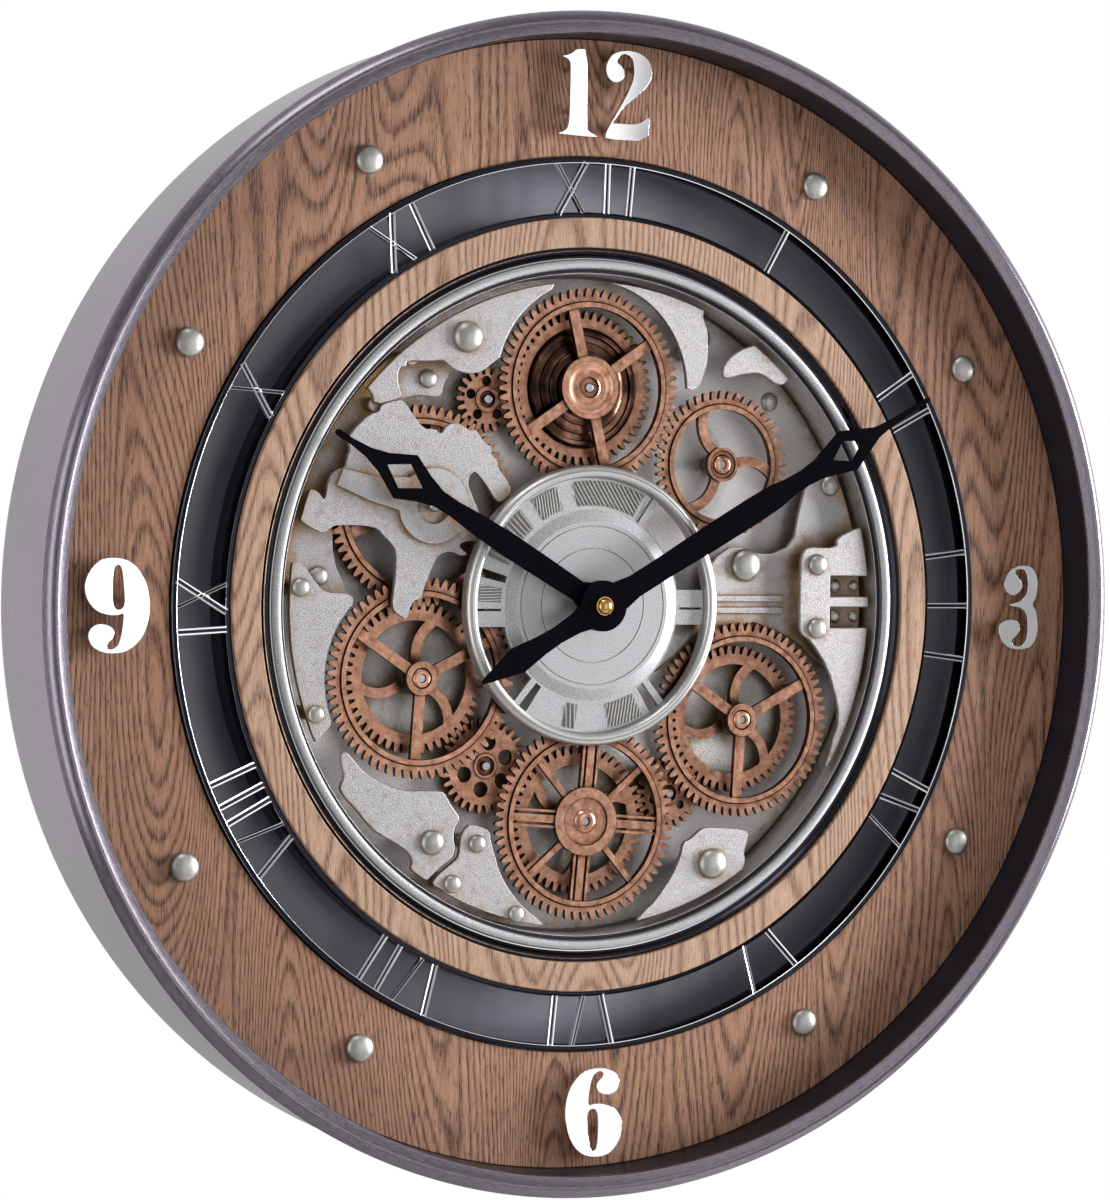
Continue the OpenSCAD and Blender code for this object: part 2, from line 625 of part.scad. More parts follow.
numeral_d = outer_wood_top_d + 4.5;
numeral_t = 3;
peg_r = 1.5;
twelve_c = [0, case_r * 0.8667];
three_c = [case_r * 0.8483, 0];
six_c = [case_r * 0.0023, -case_r * 0.865];
nine_c = [-case_r * 0.8597, 0];
one_pegs = [[-0.33, -0.2], [-0.33, 0.25]];
two_pegs = [[0.46, 0.3], [0.27, -0.4]];
three_pegs = [[0.19, -0.24], [0.18, 0.22]];
six_pegs = [[-0.22, -0.05], [0.2, -0.2]];

module numeral(shares, hole_shares = []) {
    raise(numeral_d) linear_extrude(numeral_t) difference() {
        polygon(softened(scaled(shares, numeral_h)));
        if (len(hole_shares) > 0) {
            polygon(softened(scaled(hole_shares, numeral_h)));
        }
    }
}

module numeral_pegs(pegs) {
    for (p = pegs) {
        at(p * numeral_h, outer_wood_d) cylinder(r = peg_r, h = numeral_d - outer_wood_d + over);
    }
}

module numeral_12() color("#D8D8DA") upright() at(twelve_c) {
    numeral(one_shares);
    numeral(two_shares);
    numeral_pegs(concat(one_pegs, two_pegs));
}

module numeral_3() color("#D8D8DA") upright() at(three_c) {
    numeral(three_shares);
    numeral_pegs(three_pegs);
}

module numeral_6() color("#D8D8DA") upright() at(six_c) {
    numeral(six_shares, six_hole_shares);
    numeral_pegs(six_pegs);
}

module numeral_9() color("#D8D8DA") upright() at(nine_c) rotate(180) {
    numeral(six_shares, six_hole_shares);
    numeral_pegs(six_pegs);
}

module dial_pan() color("#45444A") upright() {
    difference() {
        union() {
            raise(pan_back_d) cylinder(r = pan_out_r, h = sheet_t);
            ring(pan_out_r, pan_in_r, pan_back_d, outer_wood_d - pan_back_d);
            ring(pan_flange_r, pan_in_r, outer_wood_d - sheet_t, sheet_t);
        }
        raise(pan_back_d - over) cylinder(r = support_in_r, h = sheet_t + 2 * over);
        at(upper_c, pan_back_d - over) cylinder(r = pillar_r, h = sheet_t + 2 * over);
    }
}

module drum_ring() color("#3A3A40") upright() {
    ring(drum_in_r + sheet_t, drum_in_r, floor_d, drum_h);
    ring(drum_out_r, drum_out_r - sheet_t, floor_d, drum_h);
    ring(drum_out_r, drum_in_r, floor_d + drum_h - sheet_t, sheet_t);
}

// chapter ring: two bands joined by Roman numerals, whose feet are given as
// [offset at the inner band, offset at the outer band, width], in percent of the mid radius
bar_w = 1.6;
thin_w = 0.75;
roman_bars = [
    [[-11.3, -3.1, bar_w], [-4.2, -10.4, thin_w], [2.4, 2.4, bar_w], [8.7, 8.7, bar_w]],
    [[-0.9, -0.9, bar_w]],
    [[-5.6, -5.6, bar_w], [4, 4, bar_w]],
    [[-12.9, -12.9, bar_w], [0, 0, bar_w], [12.9, 12.9, bar_w]],
    [[-6.8, -6.8, bar_w], [0.7, -1.4, bar_w], [6.8, 8.5, thin_w]],
    [[-2.4, -4.9, bar_w], [5.4, 7.8, thin_w]],
    [[-3.5, -5.9, bar_w], [1.4, 4, thin_w], [9.6, 9.6, bar_w]],
    [[-7.8, -10.1, bar_w], [-4, -1.4, thin_w], [3.1, 3.1, bar_w], [8, 8, bar_w]],
    [[-8.2, -11.1, bar_w], [-4.2, -1.6, thin_w], [2.8, 2.8, bar_w], [6.8, 6.8, bar_w], [12.2, 12.2, bar_w]],
    [[-5.9, -5.9, bar_w], [-1.6, 5.4, bar_w], [5.2, -0.5, thin_w]],
    [[-4.5, 2.6, bar_w], [2.4, -3.5, thin_w]],
    [[-7.5, -0.7, bar_w], [-0.7, -7.1, thin_w], [4.5, 4.5, bar_w]]
];
chapter_top_d = ring_seat_d + 2.4;
chapter_band_t = 10;
chapter_bar_t = 3;
chapter_mid_r = (chapter_out_r + chapter_in_r) / 2;

function bar_angle(share) = -share / 100 * 180 / PI;
module roman_bar(bar) {
    r_in = chapter_in_r - over / 2;
    r_out = chapter_out_r - chapter_band_w + over / 2;
    h = bar[2] / 2;
    polygon([
        polar(r_in, bar_angle(bar[0] - h)),
        polar(r_in, bar_angle(bar[0] + h)),
        polar(r_out, bar_angle(bar[1] + h)),
        polar(r_out, bar_angle(bar[1] - h))
    ]);
}

module chapter_ring() color("#C9CBD2") upright() {
    raise(chapter_top_d - chapter_bar_t) linear_extrude(chapter_bar_t) {
        for (i = [0 : 11]) {
            rotate(90 - i * 30) {
                for (bar = roman_bars[i]) {
                    roman_bar(bar);
                }
            }
        }
    }
    ring(chapter_out_r, chapter_out_r - chapter_band_w, chapter_top_d - chapter_band_t, chapter_band_t);
    ring(chapter_in_r, drum_out_r + 0.1, chapter_top_d - chapter_band_t, chapter_band_t);
    ring(chapter_in_r, chapter_in_r - chapter_inner_w, ring_seat_d, chapter_top_d - ring_seat_d);
}

inner_wood_t = 4.5;
module inner_wood_ring() color("#C8A07A") upright() {
    ring(inner_wood_r, inner_wood_in_r, ring_seat_d, inner_wood_t);
}

trim_h = 3.5;
module well_trim_ring() color("#2A2A30") upright() {
    raise(ring_seat_d) rotate_extrude() polygon([
        [trim_r, 0],
        [trim_r, trim_h],
        [trim_r - 1.2, trim_h],
        [trim_r - trim_w + 0.5, trim_h - 1.5],
        [trim_r - trim_w, trim_h - 1.5],
        [trim_r - trim_w, 0]
    ]);
}

bezel_h = 4;
module well_bezel() color("#BDBDB6") upright() {
    raise(ring_seat_d) rotate_extrude() polygon([
        [bezel_r, 0],
        [bezel_r, bezel_h - 0.8],
        [bezel_r - 0.8, bezel_h],
        [bezel_in_r + 0.8, bezel_h],
        [bezel_in_r, bezel_h - 0.8],
        [bezel_in_r, 0]
    ]);
}

// gear well
pin_centres = [right_c, upper_pinion_c, side_c, left_c, left_pinion_c, lower_c, lower_pinion_c,
    lower_right_c];
module gear_base() color("#B4B4AC") upright() {
    difference() {
        ring(well_r, support_in_r, floor_d, base_t);
        for (c = pin_centres) {
            at(c, floor_d - over) cylinder(r = pin_r, h = base_t + 2 * over);
        }
        at(upper_c, floor_d - over) cylinder(r = pin_r + running_gap, h = base_t + 2 * over);
    }
}

module centre_support() color("#5A5A60") upright() {
    ring(support_r, support_in_r, base_top_d, disc_d - base_top_d);
}

disc_r = well_r * 0.297;
disc_bevel_r = disc_r - 7 * well_unit;
engraving_w = 0.6;
engraving_depth = 0.4;
sector_t = 2.6;
sector_r = well_r * 0.388;
disc_sectors = [[61, 163], [167, 180], [236, 302]];
strut_h = 18 * well_unit;
strut_slot_h = 1.2;
post_angles = [56, 230, 309];
post_w = 3.6 * well_unit;

// flat wedge of a disc between two angles
module wedge(r, from, to) {
    steps = ceil((to - from) / 30);
    reach = r / cos(15) + over;
    intersection() {
        circle(r);
        polygon(concat([[0, 0]], [for (i = [0 : steps]) polar(reach, from + (to - from) * i / steps)]));
    }
}

module disc_plan(r) {
    slot_l = r - disc_r - over;
    difference() {
        intersection() {
            circle(r);
            union() {
                circle(disc_r);
                for (s = disc_sectors) {
                    wedge(r + over, s[0], s[1]);
                }
                translate([0, -strut_h / 2 - over]) square([r + over, strut_h]);
                translate([-r - over, -strut_h / 2 - over * 2]) square([r + over, strut_h]);
                for (a = post_angles) {
                    rotate(a) translate([0, -post_w / 2]) square([r + over, post_w]);
                }
            }
        }
        circle(bush_r);
        translate([disc_r + over, -strut_h / 8]) square([slot_l - over, strut_slot_h]);
        translate([-disc_r - slot_l, -strut_h / 6]) square([slot_l - over, strut_slot_h]);
    }
}

module centre_disc() color("#B9B9BC") upright() {
    difference() {
        union() {
            raise(disc_d) linear_extrude(sector_t) disc_plan(sector_r);
            raise(disc_d + sector_t) difference() {
                cylinder(r1 = disc_r - over, r2 = disc_bevel_r, h = disc_t - sector_t);
                raise(-over) cylinder(r = bush_r, h = disc_t);
            }
        }
        for (r = [disc_bevel_r - over * 2, disc_r * 0.59]) {
            ring(r, r - engraving_w, disc_d + disc_t - engraving_depth, over);
        }
    }
}

wire_w = 6.5 * well_unit;
wire_h = 7.5;
wire_gap = 0.1;
module centre_wire_ring() color("#D2D3D8") upright() {
    in_r = sector_r + wire_gap;
    raise(disc_d) rotate_extrude() polygon([
        [in_r, 0],
        [in_r + wire_w, 0],
        [in_r + wire_w, wire_h * 0.7],
        [in_r + wire_w * 0.8, wire_h * 0.93],
        [in_r + wire_w * 0.5, wire_h],
        [in_r + wire_w * 0.2, wire_h * 0.93],
        [in_r, wire_h * 0.7]
    ]);
}

// raised plates
module plate_upper_left() color("#BDBDB6") upright() top_plate(upper_left_shares);
module plate_top() color("#BDBDB6") upright() top_plate(top_shares);
module plate_islet() color("#BDBDB6") upright() top_plate(islet_shares);
module plate_lower_right() color("#BDBDB6") upright() top_plate(lower_right_shares);
module plate_bottom() color("#BDBDB6") upright() top_plate(bottom_shares);
module plate_lower_left() color("#BDBDB6") upright() top_plate(lower_left_shares);
module plate_left() color("#BDBDB6") upright() top_plate(left_shares);

window_shares = [[84.5, 1.4], [84.5, -8.2], [100, -8.2], [100, -1.8], [84.5, -1.8]];
right_window_w = 26 * well_unit;
right_window_h = 11 * well_unit;
right_window_x = well_r * 0.92;
right_window_ys = [well_r * 0.06, -well_r * 0.038];
module plate_right() color("#BDBDB6") upright() {
    raise(plate_d) linear_extrude(plate_t) difference() {
        plate_outline(right_shares);
        for (y = right_window_ys) {
            translate([right_window_x - right_window_w / 2, y - right_window_h / 2])
                square([right_window_w, right_window_h]);
        }
    }
}

// the long pillars pass through the decks
module pillar_holes() {
    for (p = concat(top_rivets, hidden_pillars)) {
        translate([p.x, p.y] * well_r / 100) circle(pillar_r);
    }
}

// deck of the middle layer under the right plate, with two raised bars that point at the centre
deck_bar_w = 3.4 * well_unit;
deck_bar_h = 1.2;
module right_deck() color("#A9A9A2") upright() {
    raise(deck_d) linear_extrude(deck_t) difference() {
        intersection() {
            polygon(softened(scaled(right_deck_shares, well_r)));
            circle(plate_r);
        }
        pillar_holes();
    }
    for (y = [well_r * 0.02, -well_r * 0.017]) {
        box(well_r * 0.578, y, well_r * 0.246, deck_bar_w, deck_d + deck_t - over, deck_bar_h + over);
    }
}

// deck of the middle layer that runs along the rim under the star plate
module left_deck() color("#A9A9A2") upright() {
    raise(deck_d) linear_extrude(deck_t) difference() {
        intersection() {
            polygon(softened(scaled(left_deck_shares, well_r)));
            circle(plate_r);
        }
        translate(upper_c) circle(gear_clear_r(upper_teeth));
        pillar_holes();
    }
}

star_arm_t = 1.6;
star_boss_r = 19 * well_unit;
star_boss_in_r = 9 * well_unit;
star_cap_h = 3;
module star_plate() color("#C4C4BE") upright() {
    difference() {
        union() {
            raise(plate_d) linear_extrude(plate_t) difference() {
                intersection() {
                    polygon(softened(scaled(star_shares, well_r)));
                    circle(plate_r);
                }
                circle(sector_r + wire_w + over);
            }
            raise(plate_d + plate_t - over) linear_extrude(star_arm_t + over) {
                polygon(scaled(star_arm_shares, well_r));
                translate(side_c) circle(star_boss_r);
            }
        }
        at(side_c, plate_d + plate_t) cylinder(r = star_boss_in_r, h = star_arm_t + over);
        at(side_c, plate_d - over) cylinder(r = pin_r, h = plate_t + star_arm_t + 2 * over);
    }
}

// pillars from the base to the plates, and the domed rivet heads that close them:
// [x, y, head radius], x and y in percent of the well radius, the head radius in well units
top_rivets = [
    [-42.1, 80.2, 8], [43.2, -80.1, 8], [-52, -70.8, 6.3], [-95, 5.2, 4.6], [-89.8, -32, 4.4],
    [-37.2, -71.6, 4.6], [-45.2, -83.4, 4.6], [-23.9, -93.3, 4.3], [79.5, 12.8, 5.5], [79.5, -7.2, 5.5]
];
deck_rivets = [
    [-52.6, 67.6, 4.8], [-87.2, 8.4, 5], [56.7, 12.4, 8.7], [86.8, 37.7, 5.5],
    [89, 6, 3.6], [96, 6, 3], [89, -3.7, 3.6], [96, -3.7, 3]
];
floor_rivets = [[43.8, 82.8, 5], [68.2, 63.8, 5]];
hidden_pillars = [[-90, 29.6], [-71, 59.3], [36.5, 85], [36.5, 78], [57.5, 75], [-59.4, 73.5], [93, -22]];
rivet_rise = 0.55;

module plate_pillars() color("#8A8A86") upright() {
    for (p = concat(top_rivets, hidden_pillars)) {
        at([p.x, p.y] * well_r / 100, base_top_d) cylinder(r = pillar_r, h = plate_d - base_top_d);
    }
    for (p = deck_rivets) {
        at([p.x, p.y] * well_r / 100, base_top_d)
            cylinder(r = min(pillar_r, p[2] * well_unit), h = deck_d - base_top_d);
    }
}

module plate_rivets() color("#C9C8C2") upright() {
    for (p = top_rivets) {
        at([p.x, p.y] * well_r / 100)
            dome(p[2] * well_unit, p[2] * well_unit * rivet_rise, plate_d + plate_t);
    }
    for (p = deck_rivets) {
        at([p.x, p.y] * well_r / 100)
            dome(p[2] * well_unit, p[2] * well_unit * rivet_rise, deck_d + deck_t);
    }
    for (p = floor_rivets) {
        at([p.x, p.y] * well_r / 100)
            dome(p[2] * well_unit, p[2] * well_unit * rivet_rise, base_top_d);
    }
}

// pins the gears turn on, each with a collar that sets the height of its gear
module gear_pin(c, gear_d, top_d) {
    at(c, floor_d) {
        cylinder(r = pin_r, h = top_d - floor_d);
        raise(base_t) cylinder(r = collar_r, h = gear_d - free_gap - base_top_d);
    }
}

module gear_pins() color("#9A9CA4") upright() {
    pin_top_d = front_wheel_d + hub_t - pin_tip;
    gear_pin(right_c, front_wheel_d, pin_top_d);
    gear_pin(left_c, rear_wheel_d, pin_top_d);
    gear_pin(lower_c, rear_wheel_d, pin_top_d);
    gear_pin(lower_right_c, rear_wheel_d, pin_top_d);
    gear_pin(upper_pinion_c, rear_wheel_d, deck_d + pin_tip);
    gear_pin(left_pinion_c, rear_wheel_d, deck_d + pin_tip);
    gear_pin(lower_pinion_c, rear_wheel_d, deck_d + pin_tip);
    gear_pin(side_c, rear_wheel_d, plate_d + plate_t + star_arm_t);
    at(side_c) dome(pin_r + over, star_cap_h, plate_d + plate_t + star_arm_t);
}

// turning wheels
upper_hub_r = 16 * well_unit;
upper_dish_r = 13.5 * well_unit;
lower_hub_r = 17.5 * well_unit;
lower_dish_r = 12.5 * well_unit;
upper_spokes = [34, 103.5, 214, 283.5];
left_spokes = [26, 146, 266];
lower_right_spokes = [27, 146, 267];
lower_spokes = [-5, 85, 175, 265];
lower_thin_spokes = [40, 130, 220, 310];
curved_start = 70;
lower_curved_start = 20;
right_curved_start = -9;
lower_rail_offset = 4 * well_unit;
lower_rail_w = 1.3 * well_unit;
lower_spoke_w = 4 * well_unit;
thin_spoke_w = 3 * well_unit;

module upper_gear_front_wheel() color("#A4674A") upright() at(upper_c) {
    front_wheel(upper_teeth, upper_phase, upper_hub_r, upper_dish_r, pin_r) {
        straight_spokes(upper_teeth, upper_spokes, spoke_w);
    }
}

web_t = 1.8;
barrel_wide_r = 30 * well_unit;
barrel_narrow_r = 23 * well_unit;
module upper_gear_rear_wheel() color("#A4674A") upright() at(upper_c) {
    raise(rear_wheel_d) linear_extrude(rear_wheel_t) difference() {
        gear_outline(upper_rear_teeth, upper_rear_phase);
        circle(barrel_wide_r + over);
    }
    ring(barrel_wide_r + 2 * over, pin_r, rear_wheel_d, web_t);
}

module upper_gear_barrel() color("#7A4630") upright() at(upper_c) {
    ring(barrel_wide_r, pin_r, rear_wheel_d + web_t, deck_d - rear_wheel_d - web_t);
    ring(barrel_narrow_r, pin_r, deck_d, front_wheel_d - deck_d);
}

module drive_arbor() color("#9A9CA4") upright() at(upper_c) {
    start_d = drive_back_d + sheet_t;
    raise(start_d) cylinder(r = pin_r, h = front_wheel_d + hub_t - pin_tip - start_d);
}

module right_gear() color("#A4674A") upright() at(right_c) {
    front_wheel(right_teeth, right_phase, small_hub_r + over / 2, small_hub_r - over, pin_r + running_gap) {
        curved_spokes(rim_in_r(right_teeth), right_curved_start, curved_spoke_w);
        circle(small_hub_r);
    }
}

module left_gear_front_wheel() color("#A4674A") upright() at(left_c) {
    front_wheel(front_teeth, 2, small_hub_r, cup_r, pin_r + running_gap) {
        straight_spokes(front_teeth, left_spokes, spoke_w);
    }
}

module left_gear_rear_wheel() color("#8E5740") upright() at(left_c) {
    rear_wheel(rear_teeth, left_phase, curved_start, pin_r + running_gap);
}

module lower_right_gear_front_wheel() color("#A4674A") upright() at(lower_right_c) {
    front_wheel(front_teeth, 1, small_hub_r, cup_r, pin_r + running_gap) {
        straight_spokes(front_teeth, lower_right_spokes, spoke_w);
    }
}

module lower_right_gear_rear_wheel() color("#8E5740") upright() at(lower_right_c) {
    rear_wheel(rear_teeth, lower_right_phase, curved_start, pin_r + running_gap);
}

module lower_gear_front_wheel() color("#A4674A") upright() at(lower_c) {
    front_wheel(front_teeth, 0, lower_hub_r, lower_dish_r, pin_r + running_gap) {
        straight_spokes(front_teeth, lower_spokes, lower_spoke_w);
        straight_spokes(front_teeth, lower_thin_spokes, thin_spoke_w);
        for (a = lower_spokes) {
            for (side = [-1, 1]) {
                rotate(a) translate([0, side * lower_rail_offset - lower_rail_w / 2])
                    square([rim_in_r(front_teeth) + over, lower_rail_w]);
            }
        }
        circle(lower_hub_r);
    }
}

module lower_gear_rear_wheel() color("#8E5740") upright() at(lower_c) {
    rear_wheel(rear_teeth, lower_phase, lower_curved_start, pin_r + running_gap);
}

upper_hole_r = 2.6 * well_unit;
upper_hole_ring_r = 9.3 * well_unit;
left_hole_r = 3.9 * well_unit;
left_hole_ring_r = 12.2 * well_unit;
lower_hole_r = 2.2 * well_unit;
lower_hole_ring_r = 9.4 * well_unit;
module upper_pinion() color("#7E4632") upright() at(upper_pinion_c) {
    pinion(upper_pinion_teeth, upper_pinion_phase, cup_r + over, cup_r - over, 5,
        upper_hole_r, upper_hole_ring_r);
}

module left_pinion() color("#8E5740") upright() at(left_pinion_c) {
    pinion(left_pinion_teeth, left_pinion_phase, cup_r + over, cup_r - over / 2, 6,
        left_hole_r, left_hole_ring_r);
}

module lower_pinion() color("#8E5740") upright() at(lower_pinion_c) {
    pinion(lower_pinion_teeth, lower_pinion_phase, cup_r + over / 2, cup_r - over, 6, lower_hole_r,
        lower_hole_ring_r);
}

module side_gear() color("#A4674A") upright() at(side_c) {
    rim_in = rim_in_r(side_teeth);
    difference() {
        union() {
            raise(rear_wheel_d) linear_extrude(rear_wheel_t) difference() {
                union() {
                    difference() {
                        gear_outline(side_teeth, side_phase);
                        circle(rim_in);
                    }
                    straight_spokes(side_teeth, [80, 200, 320], spoke_w);
                    circle(barrel_r);
                }
                circle(pin_r + running_gap);
            }
            ring(rim_in + bead_w, rim_in, rear_wheel_d + rear_wheel_t - groove_depth, bead_h + groove_depth);
        }
        ring(rim_in + bead_w + groove_w, rim_in + bead_w, rear_wheel_d + rear_wheel_t - groove_depth, over);
    }
}

// hands, drawn pointing along x; each point is [distance, half width] in percent of the hand length
minute_shares = [
    [1, 3.4], [5.4, 3.4], [9, 2.7], [18, 2.7], [31.5, 3.06], [45, 3.15], [51.8, 2.93],
    [56.3, 2.25], [60.8, 2.03],
    [65.3, 2.5], [74.1, 5.2], [83.3, 1.35], [87.8, 0.81], [98.6, 0.6], [100, 0.4]
];
minute_tail_shares = [
    [-1, 3.2], [-5, 3.2], [-8, 2.4], [-13.5, 2], [-18, 2.25], [-24.8, 3.15], [-33, 1], [-35.1, 0.3]
];
minute_hole_shares = [[69.4, 0], [73.9, 2.7], [78.8, 0], [73.9, -2.7]];
hour_shares = [
    [1, 4.3], [6.5, 4.3], [8.8, 3.2], [23.5, 3.5], [35.3, 3.65], [47, 3.24],
    [55.9, 2.53], [61.8, 2.65], [67.6, 4.4],
    [74.4, 7.35], [82.4, 3.2], [88.2, 1.5], [94.1, 0.9], [99, 1], [100, 0.5]
];
hour_hole_shares = [[67.9, 0], [74.7, 4.1], [81.2, 0], [74.7, -4.1]];

function mirrored(p) = concat(p, [for (i = [len(p) - 1 : -1 : 0]) [p[i].x, -p[i].y]]);

module hand_outline(shares, hole_shares, len_full) {
    difference() {
        union() {
            polygon(scaled(mirrored(shares), len_full));
            circle(boss_r);
        }
        polygon(scaled(hole_shares, len_full));
    }
}

module hour_hand() color("#14141E") upright() rotate(90 - hour_angle) {
    raise(hour_hand_d) linear_extrude(hand_t) difference() {
        hand_outline(hour_shares, hour_hole_shares, hour_len);
        circle(minute_arbor_r + running_gap);
    }
    ring(hour_tube_r, minute_arbor_r + running_gap, movement_top_d - 2, hour_hand_d - movement_top_d + 2);
}

module minute_hand() color("#14141E") upright() rotate(90 - minute_angle) {
    raise(minute_hand_d) linear_extrude(hand_t) {
        hand_outline(minute_shares, minute_hole_shares, minute_len);
        polygon(scaled(mirrored(minute_tail_shares), minute_len));
    }
    raise(movement_top_d - 3) cylinder(r = minute_arbor_r, h = minute_hand_d - movement_top_d + 3);
}

nut_r = 4;
nut_h = 3.5;
module hand_nut() color("#C8A070") upright() {
    ring(nut_r + over, 0, minute_hand_d + hand_t, over);
    dome(nut_r, nut_h - over, minute_hand_d + hand_t + over);
}

// movement, gear drive and cells
knob_r = 8;
knob_h = 3.2;
knob_stem_r = 2.5;
bore_depth = 3.5;
module movement_housing() color("#2A2A2E") upright() {
    difference() {
        union() {
            box(0, 0, movement_w, movement_w, movement_d, movement_t);
            raise(movement_top_d) cylinder(r = bush_r, h = bush_top_d - movement_top_d);
            ring(bush_r * 2, bush_r, movement_top_d, washer_t);
        }
        raise(movement_top_d - bore_depth)
            cylinder(r = hour_tube_r + running_gap, h = bush_top_d - movement_top_d + bore_depth + over);
        box(0, bay_y, bay_len, bay_w, movement_d - over, bay_depth + over);
        raise(movement_d - over) cylinder(r = knob_stem_r + running_gap, h = knob_h + over);
    }
}

module set_knob() color("#3A3A3E") upright() {
    raise(movement_d - free_gap - knob_h) cylinder(r = knob_r, h = knob_h);
    raise(movement_d - free_gap - over) cylinder(r = knob_stem_r, h = knob_h + free_gap + over / 2);
}

module cell(x, y, d) {
    translate([x - cell_len / 2, y, d]) rotate([0, 90, 0]) {
        cylinder(r = cell_r, h = cell_len);
        raise(cell_len - over) cylinder(r = cell_nub_r, h = cell_nub_h + over);
    }
}

module aa_cells() color("#B0893A") upright() {
    cell(0, bay_y, movement_d + bay_depth - cell_r);
    for (i = [0, 1]) {
        cell(0, drive_bay_y + drive_bay_h / 2 + (i - 0.5) * drive_cell_pitch, drive_cell_d);
    }
}

module drive_housing() color("#2A2A2E") upright() {
    difference() {
        box(0, drive_y + drive_h / 2, drive_w, drive_h, drive_back_d, pan_back_d - drive_back_d);
        box(0, drive_bay_y + drive_bay_h / 2, bay_len, drive_bay_h, drive_back_d - over,
            drive_cell_d + cell_r - drive_back_d + over);
        box(0, drive_y + lid_h / 2 - over / 2, lid_w + 2 * lid_gap, lid_h + over, drive_back_d - over,
            lid_lip_t + over);
        box(0, drive_y + lid_h / 2 - over / 2, lid_w + 2 * lid_tongue + 2 * lid_gap, lid_h + over,
            drive_back_d + lid_lip_t, lid_t - lid_lip_t + 2 * lid_gap);
        at(upper_c, drive_back_d + sheet_t) cylinder(r = pin_r + running_gap, h = drive_h);
        box(0, switch_y, switch_w + switch_travel + 2 * free_gap, switch_w + 2 * free_gap,
            drive_back_d - over, switch_w + over);
    }
}

module drive_lid() color("#35353A") upright() {
    box(0, drive_y + lid_h / 2, lid_w, lid_h - 2 * lid_gap, drive_back_d, lid_t);
    box(0, drive_y + lid_h / 2, lid_w + 2 * lid_tongue, lid_h - 2 * lid_gap,
        drive_back_d + lid_lip_t + lid_gap, lid_t - lid_lip_t - lid_gap);
}

module drive_switch() color("#E0E0E0") upright() {
    box(-switch_travel / 2, switch_y, switch_w, switch_w, drive_back_d - over, switch_w + over - free_gap);
}

// back
spacer_angles = [for (i = [0 : spacer_count - 1]) (i + 0.5) * 360 / spacer_count];
screw_spots = concat(
    [for (a = spacer_angles) polar(spacer_ring_r, a)],
    [for (side = [-1, 1]) [side * (hanger_w / 2 - hanger_screw_in), hanger_y]]
);

module back_panel() color("#2B2724") upright() {
    raise(panel_d) linear_extrude(panel_t) difference() {
        circle(panel_r);
        translate([-window_w / 2, window_low]) square([window_w, window_h]);
        for (s = screw_spots) {
            translate(s) circle(screw_r);
        }
    }
}

module pan_spacers() color("#77777C") upright() {
    for (a = spacer_angles) {
        at(polar(spacer_ring_r, a), panel_d + panel_t) difference() {
            cylinder(r = spacer_r, h = pan_back_d - panel_d - panel_t);
            raise(-over) cylinder(r = screw_r, h = screw_len + over);
        }
    }
}

module back_screws() color("#8F8F94") upright() {
    for (s = screw_spots) {
        at(s, panel_d - screw_head_h) {
            cylinder(r = screw_head_r, h = screw_head_h);
            cylinder(r = screw_r, h = screw_head_h + screw_len);
        }
    }
}

module hanger_plate() color("#8F8F94") upright() {
    raise(panel_d + panel_t) linear_extrude(hanger_t) difference() {
        translate([-hanger_w / 2, hanger_y - hanger_h / 2]) square([hanger_w, hanger_h]);
        translate([0, hanger_y]) circle(keyhole_r);
        translate([-key_slot_w / 2, hanger_y]) square([key_slot_w, key_slot_l]);
        for (side = [-1, 1]) {
            translate([side * (hanger_w / 2 - hanger_screw_in), hanger_y]) circle(screw_r);
        }
    }
}

case_ring();
inner_liner();
outer_wood_ring();
hour_studs();
numeral_12();
numeral_3();
numeral_6();
numeral_9();
dial_pan();
drum_ring();
chapter_ring();
inner_wood_ring();
well_trim_ring();
well_bezel();
gear_base();
centre_support();
centre_disc();
centre_wire_ring();
plate_upper_left();
plate_top();
plate_islet();
plate_lower_right();
plate_bottom();
plate_lower_left();
plate_left();
plate_right();
right_deck();
left_deck();
star_plate();
plate_pillars();
plate_rivets();
gear_pins();
upper_gear_front_wheel();
upper_gear_rear_wheel();
upper_gear_barrel();
drive_arbor();
right_gear();
left_gear_front_wheel();
left_gear_rear_wheel();
lower_right_gear_front_wheel();
lower_right_gear_rear_wheel();
lower_gear_front_wheel();
lower_gear_rear_wheel();
upper_pinion();
left_pinion();
lower_pinion();
side_gear();
hour_hand();
minute_hand();
hand_nut();
movement_housing();
set_knob();
aa_cells();
drive_housing();
drive_lid();
drive_switch();
back_panel();
pan_spacers();
back_screws();
hanger_plate();
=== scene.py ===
import math
import json

import bpy
import bmesh
from mathutils import Matrix, Vector


